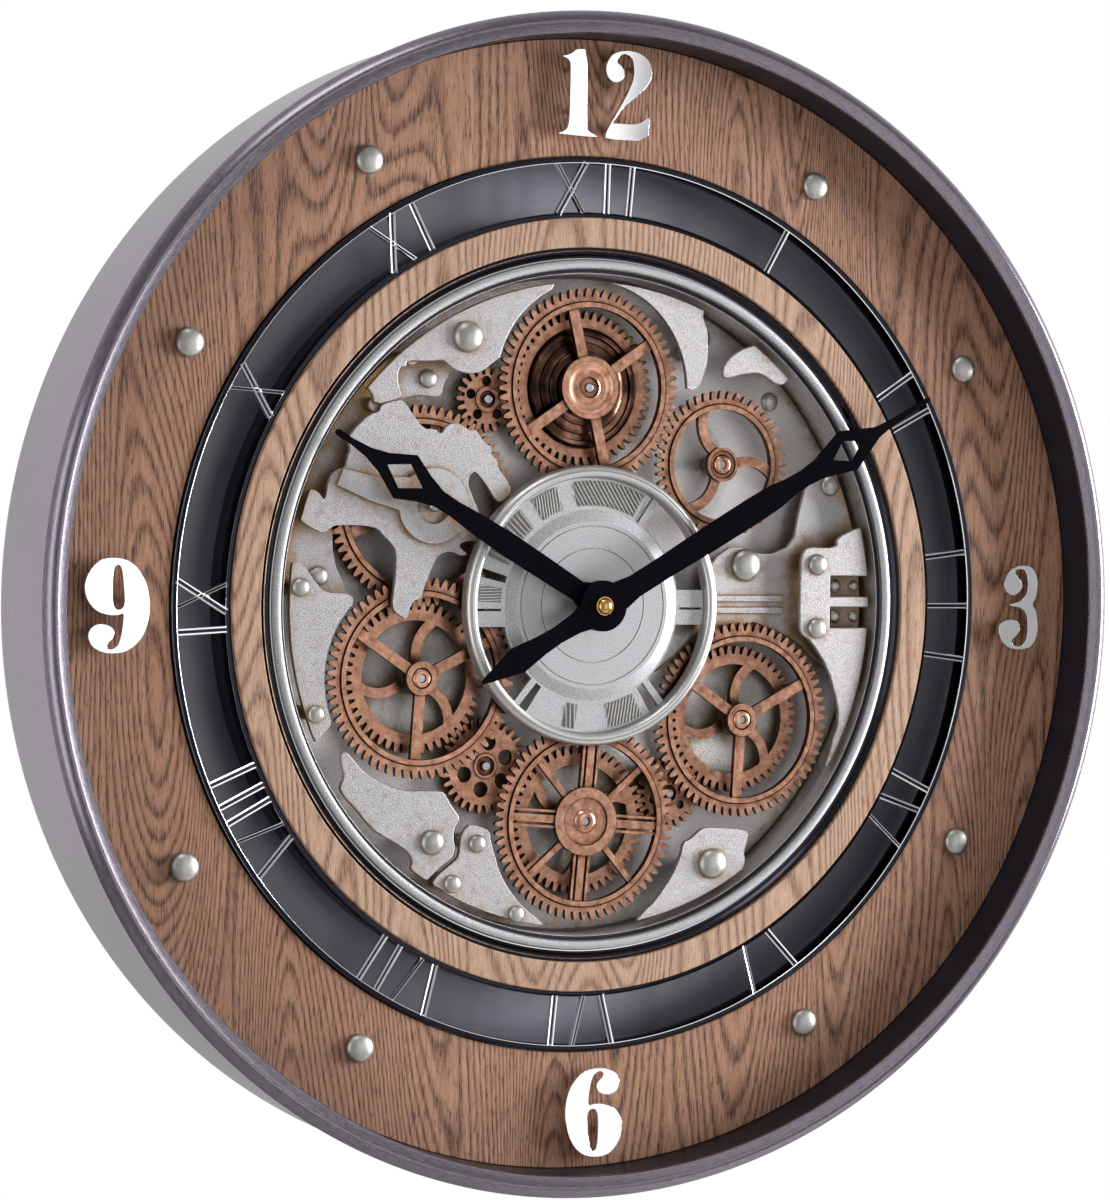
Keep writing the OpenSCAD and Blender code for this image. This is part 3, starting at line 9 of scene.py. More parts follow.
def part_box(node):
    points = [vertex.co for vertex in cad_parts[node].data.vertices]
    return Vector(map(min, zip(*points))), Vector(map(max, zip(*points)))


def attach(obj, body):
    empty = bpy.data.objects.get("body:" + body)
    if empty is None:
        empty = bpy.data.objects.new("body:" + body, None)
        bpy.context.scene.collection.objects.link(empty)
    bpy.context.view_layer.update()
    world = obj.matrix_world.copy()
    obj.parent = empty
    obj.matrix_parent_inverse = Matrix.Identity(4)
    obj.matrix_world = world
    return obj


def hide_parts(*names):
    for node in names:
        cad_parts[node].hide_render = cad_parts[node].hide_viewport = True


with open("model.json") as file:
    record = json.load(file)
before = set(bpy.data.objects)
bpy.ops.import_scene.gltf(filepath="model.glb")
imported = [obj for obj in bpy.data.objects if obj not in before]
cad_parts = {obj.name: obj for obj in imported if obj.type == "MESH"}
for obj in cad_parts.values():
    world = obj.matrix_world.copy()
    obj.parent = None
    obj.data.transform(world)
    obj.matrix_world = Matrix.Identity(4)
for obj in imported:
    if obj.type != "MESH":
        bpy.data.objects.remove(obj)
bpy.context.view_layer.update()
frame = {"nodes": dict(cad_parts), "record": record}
cadNodes = frame["nodes"]
bodyOf = {node: body for body, nodes in frame["record"]["behaviour"]["bodies"].items() for node in nodes}
print("frame loaded:", len(cadNodes), "nodes")

mm = 0.001


def spot(x, up, depth):  # millimetres on the dial, and out from the wall, to the frame's metres
    return Vector((x * mm, -depth * mm, up * mm))


def hexColour(code):
    channels = [int(code[i:i + 2], 16) / 255 for i in (1, 3, 5)]
    return [c / 12.92 if c <= 0.04045 else ((c + 0.055) / 1.055) ** 2.4 for c in channels] + [1.0]


def addNode(tree, kind, settings=None, give=0, stops=None):  # a socket given as a setting is linked
    node = tree.nodes.new(kind)
    for key, value in (settings or {}).items():
        if isinstance(value, bpy.types.NodeSocket):
            tree.links.new(value, node.inputs[key])
        elif isinstance(key, int) or key in node.inputs:
            node.inputs[key].default_value = value
        else:
            setattr(node, key, value)
    for index, (position, colour) in enumerate(stops or []):
        if index >= len(node.color_ramp.elements):
            node.color_ramp.elements.new(position)
        element = node.color_ramp.elements[index]
        element.position = position
        element.color = hexColour(colour) if isinstance(colour, str) else (colour, colour, colour, 1)
    return node.outputs[give]


def startMaterial(name, settings):  # what is the same all over goes on the shader's own sockets
    material = bpy.data.materials.new(name)
    material.use_nodes = True
    tree = material.node_tree
    shader = tree.nodes["Principled BSDF"]
    for key, value in settings.items():
        shader.inputs[key].default_value = value
    return material, tree, addNode(tree, "ShaderNodeTexCoord", give="Object")


def finishMaterial(tree, colour, roughness, height, depthMm, strength):
    shader = tree.nodes["Principled BSDF"]
    normal = addNode(tree, "ShaderNodeBump", {"Strength": strength, "Distance": depthMm * mm,
                                              "Height": height})
    tree.links.new(colour, shader.inputs["Base Color"])
    tree.links.new(roughness, shader.inputs["Roughness"])
    tree.links.new(normal, shader.inputs["Normal"])


# Oak veneer sawn plainly and lacquered matt: tall arches of dark growth lines, broken into short pores.
# Real pores are about half as wide, and are drawn coarser so that they show.
oakGrain = {"rippleMm": 4, "poreMm": 0.65, "fibreMm": 2.2, "cloudMm": 170, "raisedMm": 0.1,
            "rippleLong": 0.12, "poreLong": 0.09}  # the last two squeeze the pattern along the grain


def oakVeneer(name, look):
    material, tree, place = startMaterial(name, {"IOR": 1.45, "Specular IOR Level": 0.35})
    board = addNode(tree, "ShaderNodeMapping", {
        "Vector": place, "Scale": (1, 1, look["arch"]), "Location": look["cut"]})
    warp = addNode(tree, "ShaderNodeTexNoise", {
        "Vector": board, "Scale": 1000 / look["archMm"], "Detail": 1.0, "Roughness": 0.35})
    tall = addNode(tree, "ShaderNodeMapping", {"Vector": place, "Scale": (1, 1, oakGrain["rippleLong"])})
    ripple = addNode(tree, "ShaderNodeTexNoise", {
        "Vector": tall, "Scale": 1000 / oakGrain["rippleMm"], "Detail": 4.0, "Roughness": 0.6})
    nudge = addNode(tree, "ShaderNodeMath", {"operation": "MULTIPLY", 0: ripple, 1: look["ragged"]})
    growth = addNode(tree, "ShaderNodeMath", {
        "operation": "MULTIPLY_ADD", 0: warp, 1: look["lines"], 2: nudge})
    wave = addNode(tree, "ShaderNodeMath", {"operation": "FRACT", 0: growth})
    line = addNode(tree, "ShaderNodeValToRGB", {"Fac": wave}, stops=[
        (0.0, 1.0), (0.14, 0.85), (0.36, 0.2), (0.66, 0.05), (0.86, 0.3), (1.0, 1.0)])
    long = addNode(tree, "ShaderNodeMapping", {"Vector": place, "Scale": (1, 1, oakGrain["poreLong"])})
    pore = addNode(tree, "ShaderNodeTexNoise", {
        "Vector": long, "Scale": 1000 / oakGrain["poreMm"], "Detail": 3.0, "Roughness": 0.7})
    dash = addNode(tree, "ShaderNodeValToRGB", {"Fac": pore}, stops=[(0.42, 1.0), (0.58, 0.5)])
    broken = addNode(tree, "ShaderNodeMath", {"operation": "MULTIPLY", 0: line, 1: dash})
    fibre = addNode(tree, "ShaderNodeTexNoise", {
        "Vector": long, "Scale": 1000 / oakGrain["fibreMm"], "Detail": 4.0, "Roughness": 0.7})
    ground = addNode(tree, "ShaderNodeValToRGB", {"Fac": fibre}, stops=[
        (0.32, look["middle"]), (0.62, look["light"])])
    cloud = addNode(tree, "ShaderNodeTexNoise", {
        "Vector": board, "Scale": 1000 / oakGrain["cloudMm"], "Detail": 2.0})
    cloudy = addNode(tree, "ShaderNodeValToRGB", {"Fac": cloud}, stops=[(0.35, 0.0), (0.68, look["cloud"])])
    dusky = addNode(tree, "ShaderNodeMix", {
        "data_type": "RGBA", 0: cloudy, 6: ground, 7: hexColour(look["middle"])}, 2)
    lined = addNode(tree, "ShaderNodeMix", {
        "data_type": "RGBA", 0: broken, 6: dusky, 7: hexColour(look["dark"])}, 2)
    fleck = addNode(tree, "ShaderNodeValToRGB", {"Fac": pore}, stops=[(0.34, look["flecks"]), (0.44, 0.0)])
    pored = addNode(tree, "ShaderNodeMix", {
        "data_type": "RGBA", 0: fleck, 6: lined, 7: hexColour(look["dark"])}, 2)
    rough = addNode(tree, "ShaderNodeMapRange", {"Value": fibre, "To Min": 0.46, "To Max": 0.62})
    raised = addNode(tree, "ShaderNodeMath", {"operation": "SUBTRACT", 0: 1.0, 1: broken})
    finishMaterial(tree, pored, rough, raised, oakGrain["raisedMm"], 0.7)
    return material


# Stained red brown for the outer ring. Arch and cut say how the board was sawn, lines how many growth
# lines the arches hold, ragged how uneven they are, and flecks how dark the pores stand out.
outerOak = oakVeneer("outerOak", {
    "light": "#C0947A", "middle": "#9F745C", "dark": "#4A2C22", "arch": 0.15, "archMm": 84, "lines": 84,
    "ragged": 0.35, "cut": (0.31, 0, 0.2), "cloud": 0.8, "flecks": 0.85})
# The same veneer left pale for the inner ring: softer lines, less cloud
innerOak = oakVeneer("innerOak", {
    "light": "#CDAE95", "middle": "#B79078", "dark": "#72503F", "arch": 0.12, "archMm": 90, "lines": 72,
    "ragged": 0.35, "cut": (0.1, 0, 0.5), "cloud": 0.4, "flecks": 0.7})


# Sheet steel or die-cast rings finished on a lathe: fine streaks that run round the clock.
# Real tool marks are a tenth of this width, and are drawn coarser so that they show.
latheMarks = {"cloudMm": 55, "cloudShare": 0.4, "depthMm": 0.02,
              "along": 0.03}  # small, so that a streak runs far before it changes


def turnedMetal(name, look):
    material, tree, place = startMaterial(name, {
        "Metallic": look["metal"], "Anisotropic": look["around"], "Anisotropic Rotation": look["turn"]})
    tangent = addNode(tree, "ShaderNodeTangent", {"direction_type": "RADIAL", "axis": "Y"})
    tree.links.new(tangent, tree.nodes["Principled BSDF"].inputs["Tangent"])
    x, y, z = (addNode(tree, "ShaderNodeSeparateXYZ", {0: place}, axis) for axis in "XYZ")
    angle = addNode(tree, "ShaderNodeMath", {"operation": "ARCTAN2", 0: x, 1: z})
    squared = addNode(tree, "ShaderNodeMath", {"operation": "MULTIPLY", 0: x, 1: x})
    both = addNode(tree, "ShaderNodeMath", {"operation": "MULTIPLY_ADD", 0: z, 1: z, 2: squared})
    radius = addNode(tree, "ShaderNodeMath", {"operation": "SQRT", 0: both})
    slow = addNode(tree, "ShaderNodeMath", {"operation": "MULTIPLY", 0: angle, 1: latheMarks["along"]})
    lathe = addNode(tree, "ShaderNodeCombineXYZ", {"X": slow, "Y": radius, "Z": y})
    streak = addNode(tree, "ShaderNodeTexNoise", {
        "Vector": lathe, "Scale": 1000 / look["streakMm"], "Detail": 4.0, "Roughness": 0.7})
    sharp = addNode(tree, "ShaderNodeValToRGB", {"Fac": streak}, stops=[
        (0.3, look["shade"]), (0.7, look["colour"])])
    cloud = addNode(tree, "ShaderNodeTexNoise", {
        "Vector": place, "Scale": 1000 / latheMarks["cloudMm"], "Detail": 3.0})
    faint = addNode(tree, "ShaderNodeMath", {
        "operation": "MULTIPLY", 0: cloud, 1: latheMarks["cloudShare"]})
    colour = addNode(tree, "ShaderNodeMix", {
        "data_type": "RGBA", 0: faint, 6: sharp, 7: hexColour(look["shade"])}, 2)
    rough = addNode(tree, "ShaderNodeMapRange", {
        "Value": streak, "To Min": look["rough"] - 0.06, "To Max": look["rough"] + 0.08})
    finishMaterial(tree, colour, rough, streak, latheMarks["depthMm"], 0.5)
    return material


# Spun steel plated a dull pewter and brushed round: the light lies in long soft streaks
pewter = turnedMetal("brushedPewter", {
    "colour": "#9A949C", "shade": "#7A747C", "rough": 0.3, "streakMm": 0.7, "metal": 1.0, "around": 0.5,
    "turn": 0.25})
# The rolled rim of the same steel, in a darker copy of the pewter as painted shade for its darker
# reflections, and buffed: narrow bright lines on a dark violet grey
rimPaintedShade = turnedMetal("pewterWithPaintedShade", {
    "colour": "#8E8891", "shade": "#645E68", "rough": 0.26, "streakMm": 0.5, "metal": 1.0, "around": 0.5,
    "turn": 0.25})
# Die-cast zinc, turned and plated silver: pale, with beads that catch thin lines of light
wireSilver = turnedMetal("turnedSilver", {
    "colour": "#DAD9D8", "shade": "#B5B4B3", "rough": 0.34, "streakMm": 0.5, "metal": 0.85, "around": 0.2,
    "turn": 0.25})
# Pressed steel pan sprayed satin violet grey: mostly dark, with broad pale zones where it faces the light
satinTray = turnedMetal("satinTray", {
    "colour": "#94939E", "shade": "#888792", "rough": 0.5, "streakMm": 3.0, "metal": 0.3, "around": 0.9,
    "turn": 0.0})
# Polished rings plated black chrome: nearly black between sharp highlights
smokedChrome = turnedMetal("smokedChrome", {
    "colour": "#34333A", "shade": "#222127", "rough": 0.16, "streakMm": 0.6, "metal": 1.0, "around": 0.3,
    "turn": 0.25})


# Cast metal sprayed with a sandy silver, then washed with rust that stays in corners and blots.
# The grain of the spray is drawn about twice as coarse as real, so that it shows.
rustWash = {"blotMm": 7, "patchMm": 24, "cornerSamples": 6}


def sandCast(name, look):
    material, tree, place = startMaterial(name, {"Metallic": look["metal"]})
    grain = addNode(tree, "ShaderNodeTexNoise", {
        "Vector": place, "Scale": 1000 / look["grainMm"], "Detail": 2.0, "Roughness": 0.5})
    speck = addNode(tree, "ShaderNodeValToRGB", {"Fac": grain}, stops=[
        (0.36, look["shade"]), (0.62, look["colour"])])
    corner = addNode(tree, "ShaderNodeAmbientOcclusion", {
        "samples": rustWash["cornerSamples"], "Distance": look["washMm"] * mm}, "AO")
    blot = addNode(tree, "ShaderNodeTexNoise", {
        "Vector": place, "Scale": 1000 / rustWash["blotMm"], "Detail": 6.0, "Roughness": 0.72})
    ragged = addNode(tree, "ShaderNodeMath", {"operation": "MULTIPLY_ADD", 0: blot, 1: 0.9, 2: corner})
    settled = addNode(tree, "ShaderNodeMath", {"operation": "MULTIPLY", 0: ragged, 1: 0.6})
    nook = addNode(tree, "ShaderNodeValToRGB", {"Fac": settled}, stops=[
        (look["reach"] - 0.17, 0.9), (look["reach"], 0.0)])
    spread = addNode(tree, "ShaderNodeTexNoise", {
        "Vector": place, "Scale": 1000 / rustWash["patchMm"], "Detail": 7.0, "Roughness": 0.74})
    patch = addNode(tree, "ShaderNodeValToRGB", {"Fac": spread}, stops=[(0.6, 0.0), (0.74, look["patch"])])
    amount = addNode(tree, "ShaderNodeMath", {"operation": "MAXIMUM", 0: nook, 1: patch})
    colour = addNode(tree, "ShaderNodeMix", {
        "data_type": "RGBA", 0: amount, 6: speck, 7: hexColour(look["wash"])}, 2)
    rough = addNode(tree, "ShaderNodeMapRange", {"Value": grain, "To Min": 0.3, "To Max": 0.55})
    finishMaterial(tree, colour, rough, grain, look["bumpMm"], 0.8)
    return material


# The raised plates, wiped after the wash: light grey, gritty, brown only at the edges. Reach says how
# far the wash creeps out of the corners, washMm how wide a corner is, patch how dark the blots are.
sandSilver = sandCast("sandSilver", {
    "colour": "#BCBABC", "shade": "#8D8B8F", "wash": "#8A6636", "metal": 0.6, "grainMm": 0.5,
    "washMm": 11, "patch": 0.35, "reach": 0.852, "bumpMm": 0.3})
# The floor of the well, not wiped: paler where it is clean, rusty beside everything that stands on it
baseSilver = sandCast("baseSilver", {
    "colour": "#DEDADA", "shade": "#AAA6A5", "wash": "#77603A", "metal": 0.55, "grainMm": 0.5,
    "washMm": 14, "patch": 0.6, "reach": 0.74, "bumpMm": 0.3})
# The centre disc and the bezel, sprayed finer: an even cool silver with dirt only in its grooves
discSilver = sandCast("discSilver", {
    "colour": "#BDBDC0", "shade": "#939396", "wash": "#77705F", "metal": 0.75, "grainMm": 0.5,
    "washMm": 1.2, "patch": 0.15, "reach": 0.62, "bumpMm": 0.15})


# Zinc wheels plated with copper, blackened in the recesses and rubbed bright on the high faces, with
# painted shade darkening their side faces
def agedCopper(name, look):
    material, tree, place = startMaterial(name, {"Metallic": 1.0})
    corner = addNode(tree, "ShaderNodeAmbientOcclusion", {
        "samples": look["cornerSamples"], "Distance": look["cornerMm"] * mm}, "AO")
    patina = addNode(tree, "ShaderNodeTexNoise", {
        "Vector": place, "Scale": 1000 / look["patinaMm"], "Detail": 5.0, "Roughness": 0.7})
    worn = addNode(tree, "ShaderNodeMath", {"operation": "MULTIPLY_ADD", 0: patina, 1: 0.8, 2: corner})
    exposed = addNode(tree, "ShaderNodeMath", {"operation": "MULTIPLY", 0: worn, 1: 0.55})
    rubbed = addNode(tree, "ShaderNodeValToRGB", {"Fac": exposed}, stops=[
        (0.46, look["dark"]), (0.68, look["middle"]), (0.84, look["bright"])])
    # Painted shade: faces turned away from the front, such as tooth flanks and rims, are mixed towards the
    # dark copper colour
    normal = addNode(tree, "ShaderNodeNewGeometry", give="Normal")
    facing = addNode(tree, "ShaderNodeSeparateXYZ", {0: normal}, "Y")
    flat = addNode(tree, "ShaderNodeMath", {"operation": "ABSOLUTE", 0: facing})
    side = addNode(tree, "ShaderNodeValToRGB", {"Fac": flat}, stops=[(0.3, 0.75), (0.9, 0.0)])
    sideShadedCopper = addNode(tree, "ShaderNodeMix", {
        "data_type": "RGBA", 0: side, 6: rubbed, 7: hexColour(look["dark"])}, 2)
    scuff = addNode(tree, "ShaderNodeTexNoise", {
        "Vector": place, "Scale": 1000 / look["scuffMm"], "Detail": 3.0, "Roughness": 0.7})
    scuffs = addNode(tree, "ShaderNodeValToRGB", {"Fac": scuff}, stops=[(0.58, 0.0), (0.7, 0.7)])
    colour = addNode(tree, "ShaderNodeMix", {
        "data_type": "RGBA", 0: scuffs, 6: sideShadedCopper, 7: hexColour(look["bright"])}, 2)
    rough = addNode(tree, "ShaderNodeMapRange", {"Value": patina, "To Min": 0.2, "To Max": 0.46})
    finishMaterial(tree, colour, rough, scuff, look["bumpMm"], 0.7)
    return material


copper = agedCopper("agedCopper", {
    "bright": "#C7977E", "middle": "#744E3D", "dark": "#24160F", "cornerMm": 5, "cornerSamples": 6,
    "patinaMm": 5, "scuffMm": 0.8, "bumpMm": 0.08})


# Turned copper and bronze, dipped black and polished back: bright metal with soft dark stains
def polishedTurning(name, look):
    material, tree, place = startMaterial(name, {"Metallic": 1.0})
    stain = addNode(tree, "ShaderNodeTexNoise", {
        "Vector": place, "Scale": 1000 / look["stainMm"], "Detail": 4.0, "Roughness": 0.6})
    tone = addNode(tree, "ShaderNodeValToRGB", {"Fac": stain}, stops=[
        (0.34, look["dark"]), (0.5, look["middle"]), (0.66, look["bright"])])
    rough = addNode(tree, "ShaderNodeMapRange", {
        "Value": stain, "To Min": look["rough"] + 0.12, "To Max": look["rough"] - 0.06})
    finishMaterial(tree, tone, rough, stain, look["bumpMm"], 0.3)
    return material


# Copper hubs, which hands and cloths reach most: the brightest spots of the train
rubbedCopper = polishedTurning("rubbedCopper", {
    "bright": "#E6B79C", "middle": "#C9937A", "dark": "#8F604A", "stainMm": 9, "rough": 0.26,
    "bumpMm": 0.02})
# Bronze drum of the mainspring: deep brown, with curved highlights on its steps
bronzeDrum = polishedTurning("bronzeDrum", {
    "bright": "#A97E68", "middle": "#50382D", "dark": "#1B1310", "stainMm": 26, "rough": 0.2,
    "bumpMm": 0.02})


# Plain plated, painted or moulded finishes: one colour made uneven by its own fine grain
unevenMm = 30


def plainFinish(name, look):
    given = {"Metallic": look.get("metal", 0.0)}
    if "specular" in look:
        given["Specular IOR Level"] = look["specular"]
    material, tree, place = startMaterial(name, given)
    grain = addNode(tree, "ShaderNodeTexNoise", {
        "Vector": place, "Scale": 1000 / look["grainMm"], "Detail": 3.0, "Roughness": 0.6})
    cloud = addNode(tree, "ShaderNodeTexNoise", {"Vector": place, "Scale": 1000 / unevenMm, "Detail": 2.0})
    both = addNode(tree, "ShaderNodeMath", {"operation": "MULTIPLY", 0: grain, 1: cloud})
    tone = addNode(tree, "ShaderNodeValToRGB", {"Fac": both}, stops=[
        (0.1, look["shade"]), (0.4, look["colour"])])
    rough = addNode(tree, "ShaderNodeMapRange", {
        "Value": grain, "To Min": look["rough"] - 0.04, "To Max": look["rough"] + 0.05})
    finishMaterial(tree, tone, rough, grain, look["bumpMm"], 0.4)
    return material


# Electroplated chrome over a cast blank: nearly a mirror, with the faint waves of the casting
mirrorChrome = plainFinish("polishedChrome", {
    "colour": "#F4F4F6", "shade": "#E9E9EC", "metal": 1.0, "rough": 0.07, "grainMm": 40, "bumpMm": 0.002})
# Tumbled nickel plate: warm grey with a soft broad shine
satinNickel = plainFinish("satinNickel", {
    "colour": "#BAB8B4", "shade": "#9A9894", "metal": 1.0, "rough": 0.42, "grainMm": 1.0, "bumpMm": 0.01})
# Silver spray, dull, given a flat brownish grey between the disc's ridges as painted shade
paintedGrooveShade = plainFinish("paintedGrooveShade", {
    "colour": "#8E8B85", "shade": "#6C6963", "metal": 0.5, "rough": 0.55, "grainMm": 0.5, "bumpMm": 0.03})
# Bright drawn and pressed steel of the arbors, screws and hanger: a cool even shine
plainSteel = plainFinish("plainSteel", {
    "colour": "#B8BAC0", "shade": "#9A9CA2", "metal": 1.0, "rough": 0.3, "grainMm": 1.5, "bumpMm": 0.01})
# Stamped aluminium hands, sprayed blue black: they stay dark against everything behind them
handBlack = plainFinish("blackHandPaint", {
    "colour": "#0B0B11", "shade": "#07070B", "rough": 0.3, "specular": 0.02, "grainMm": 0.8,
    "bumpMm": 0.01})
# Turned brass nut, buffed: one warm yellow spark
polishedBrass = plainFinish("polishedBrass", {
    "colour": "#D8AE72", "shade": "#B98C52", "metal": 1.0, "rough": 0.22, "grainMm": 3, "bumpMm": 0.01})
# Inside of the case: black enamel over the steel, only just glossy
blackEnamel = plainFinish("blackEnamel", {
    "colour": "#22222D", "shade": "#191922", "rough": 0.36, "grainMm": 25, "bumpMm": 0.02,
    "specular": 0.25})
# Injection moulded ABS with a spark-eroded skin: matt black that greys where light rakes it
mouldedBlack = plainFinish("mouldedBlack", {
    "colour": "#242427", "shade": "#19191B", "rough": 0.5, "grainMm": 0.7, "bumpMm": 0.03})
# The same plastic in white for the switch, a little smoother
mouldedWhite = plainFinish("mouldedWhite", {
    "colour": "#E6E5E0", "shade": "#D2D1CB", "rough": 0.42, "grainMm": 0.7, "bumpMm": 0.02})
# Hardboard back, sprayed black so that its felted fibres still show
paintedBoard = plainFinish("paintedBoard", {
    "colour": "#2A2623", "shade": "#1B1917", "rough": 0.7, "grainMm": 2.2, "bumpMm": 0.08})
# Plastic jacket of the dry cells, ochre with no print: smooth, with a thin metallic sheen
cellJacket = plainFinish("cellJacket", {
    "colour": "#AC8038", "shade": "#8C6424", "metal": 0.3, "rough": 0.35, "grainMm": 8, "bumpMm": 0.01})
print("materials made")


def newPiece(name, mesh, material):
    piece = bpy.data.objects.new(name, mesh)
    bpy.context.scene.collection.objects.link(piece)
    mesh.materials.clear()
    mesh.materials.append(material)
    return piece


def meshFrom(name, work):  # with every face turned outwards
    mesh = bpy.data.meshes.new(name)
    bmesh.ops.recalc_face_normals(work, faces=work.faces)
    work.to_mesh(mesh)
    work.free()
    return mesh


def fixed(piece, name):  # the evaluated mesh, with its modifiers worked in
    graph = bpy.context.evaluated_depsgraph_get()
    mesh = bpy.data.meshes.new_from_object(piece.evaluated_get(graph))
    material = piece.data.materials[0]
    bpy.data.objects.remove(piece)
    return newPiece(name, mesh, material)


def smoothByAngle(mesh, angle):
    for face in mesh.polygons:
        face.use_smooth = True
    mesh.set_sharp_from_angle(angle=math.radians(angle))


def softEdges(piece, widthMm, segments, angle):  # worn edges, with the flat faces kept flat
    smoothByAngle(piece.data, angle)
    edge = piece.modifiers.new("softEdges", "BEVEL")
    edge.limit_method = "ANGLE"
    edge.angle_limit = math.radians(angle)
    edge.width = widthMm * mm
    edge.segments = segments
    edge.use_clamp_overlap = True
    piece.modifiers.new("flatFaces", "WEIGHTED_NORMAL").weight = 100


def settle(piece, node):  # the piece stands for this solid and rides with it
    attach(piece, bodyOf[node])
    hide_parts(node)
    return piece


def camelName(node):  # star_plate to starPlate
    first, *rest = node.split("_")
    return first + "".join(word.capitalize() for word in rest)


mend = {"gap": 1e-6, "flatDegrees": 0.4}  # what is merged in a solid's loose triangles


def dressed(node, material, edgeMm, segments=2, angle=32):  # the built solid with worked edges
    name = camelName(node)
    mesh = cadNodes[node].data.copy()
    work = bmesh.new()
    work.from_mesh(mesh)
    bmesh.ops.remove_doubles(work, verts=work.verts, dist=mend["gap"])
    bmesh.ops.dissolve_limit(work, angle_limit=math.radians(mend["flatDegrees"]), verts=work.verts,
                             edges=work.edges)
    work.to_mesh(mesh)
    work.free()
    piece = newPiece(name, mesh, material)
    if edgeMm:
        softEdges(piece, edgeMm, segments, angle)
        piece = fixed(piece, name)
    else:
        smoothByAngle(piece.data, angle)
    return settle(piece, node)


def turned(profile, steps):  # spins a closed profile of radius and depth in millimetres
    work = bmesh.new()
    rows = []
    for i in range(steps):
        a = 2 * math.pi * i / steps
        rows.append([work.verts.new(spot(r * math.cos(a), r * math.sin(a), d)) for r, d in profile])
    for i in range(steps):
        here, after = rows[i], rows[(i + 1) % steps]
        for j in range(len(profile)):
            k = (j + 1) % len(profile)
            work.faces.new((here[j], after[j], after[k], here[k]))
    return meshFrom("turned", work)


def turnedPiece(name, profile, material, edgeMm, steps, angle=25):
    piece = newPiece(name, turned(profile, steps), material)
    if edgeMm:
        softEdges(piece, edgeMm, 3, angle)
        piece = fixed(piece, name)
    else:
        smoothByAngle(piece.data, angle)
    return piece


def paintFaces(piece, material, chosen):  # a second finish, on faces chosen by radius, depth and normal
    piece.data.materials.append(material)
    for face in piece.data.polygons:
        x, y, z = face.center
        if chosen(math.hypot(x, z) / mm, -y / mm, face.normal):
            face.material_index = 1


def band(outer, inner, low, high):
    return [(outer, low), (outer, high), (inner, high), (inner, low)]


def boxMm(node):  # a solid's reach out from the wall, in millimetres
    low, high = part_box(node)
    return -high.y / mm, -low.y / mm


def fromFront(node, points):  # each radius with its drop behind the solid's front; None is its back
    low, high = boxMm(node)
    return [(radius, low if drop is None else high - drop) for radius, drop in points]


# How far the worn edges of the built solids are rounded, in millimetres
edges = {"base": 0.3, "numeral": 0.5, "plate": 0.7, "deck": 0.4, "disc": 0.3, "wheel": 0.28, "arbor": 0.4,
         "hand": 0.3, "nut": 0.2, "plastic": 0.5, "knob": 0.4, "lid": 0.25, "board": 0.5, "pressed": 0.3}


# Case, wood and rings. All lengths are millimetres.

case = {"rimRadius": 300.0, "lipInset": 11.5, "ridgeInset": 5.5, "wallRadius": 298.5, "depth": 77.0,
        "hem": 8.0, "hemSheet": 1.5, "rimFrom": 5.35, "steps": 360}

rim, wall, lip = case["rimRadius"], case["wallRadius"], case["rimRadius"] - case["lipInset"]
ridge, depth = case["rimRadius"] - case["ridgeInset"], case["depth"]
caseProfile = [
    # the side wall, from the back to the step under the rim
    (wall - 1, 0), (wall - 0.6, 30), (wall, depth - 5.6), (wall + 0.3, depth - 5.3),
    # the rim, over its ridge to the lip
    (rim - 0.2, depth - 5.2), (rim, depth - 4.7), (rim - 0.3, depth - 3.9), (rim - 1.6, depth - 2.2),
    (ridge + 2, depth - 0.6), (ridge + 0.7, depth - 0.05), (ridge - 0.5, depth),
    (ridge - 1.2, depth - 0.35), (lip + 1.6, depth - 1.3), (lip + 0.4, depth - 1.45), (lip, depth - 2),
    # back behind the rim and down inside the wall to the hem
    (lip, depth - 3.4), (ridge, depth - 2), (wall - 2, depth - 5.5), (wall - 3, case["hemSheet"]),
    (wall - case["hem"], case["hemSheet"]), (wall - case["hem"], 0)]
caseShell = turnedPiece("caseShell", caseProfile, pewter, 0, case["steps"], 40)
# The rim faces get the darker pewter copy: painted shade
paintFaces(caseShell, rimPaintedShade, lambda r, d, normal: d > depth - case["rimFrom"])
settle(caseShell, "case_ring")

liner = {"sheet": 2.0, "shelf": 9.0, "shelfSheet": 3.0, "edgeMm": 0.3}
low, high = boxMm("inner_liner")
shelfTop, shelfEdge = low + liner["shelfSheet"], lip - liner["shelf"]
linerProfile = [(lip + liner["sheet"], low), (lip + liner["sheet"], high), (lip, high), (lip, shelfTop),
                (shelfEdge, shelfTop), (shelfEdge, low)]
settle(turnedPiece("enamelLiner", linerProfile, blackEnamel, liner["edgeMm"], case["steps"]),
       "inner_liner")

woods = {
    "outer_wood_ring": {"finish": outerOak, "outer": 288.3, "inner": 229.0, "edgeMm": 0.5, "steps": 300},
    "inner_wood_ring": {"finish": innerOak, "outer": 197.6, "inner": 182.6, "edgeMm": 0.6, "steps": 240}}
for node, wood in woods.items():
    woodProfile = band(wood["outer"], wood["inner"], *boxMm(node))
    settle(turnedPiece(camelName(node), woodProfile, wood["finish"], wood["edgeMm"], wood["steps"]), node)

pan = {"inner": 41.5, "wall": 228.7, "flange": 239.8, "sheet": 2.0, "edgeMm": 0.25, "steps": 300}
low, high = boxMm("dial_pan")
floorTop, flangeBack, wallBack = low + pan["sheet"], high - pan["sheet"], pan["wall"] + pan["sheet"]
panProfile = [(pan["inner"], low), (pan["inner"], floorTop), (pan["wall"], floorTop), (pan["wall"], high),
              (pan["flange"], high), (pan["flange"], flangeBack), (wallBack, flangeBack), (wallBack, low)]
settle(turnedPiece("dialPan", panProfile, satinTray, pan["edgeMm"], pan["steps"]), "dial_pan")

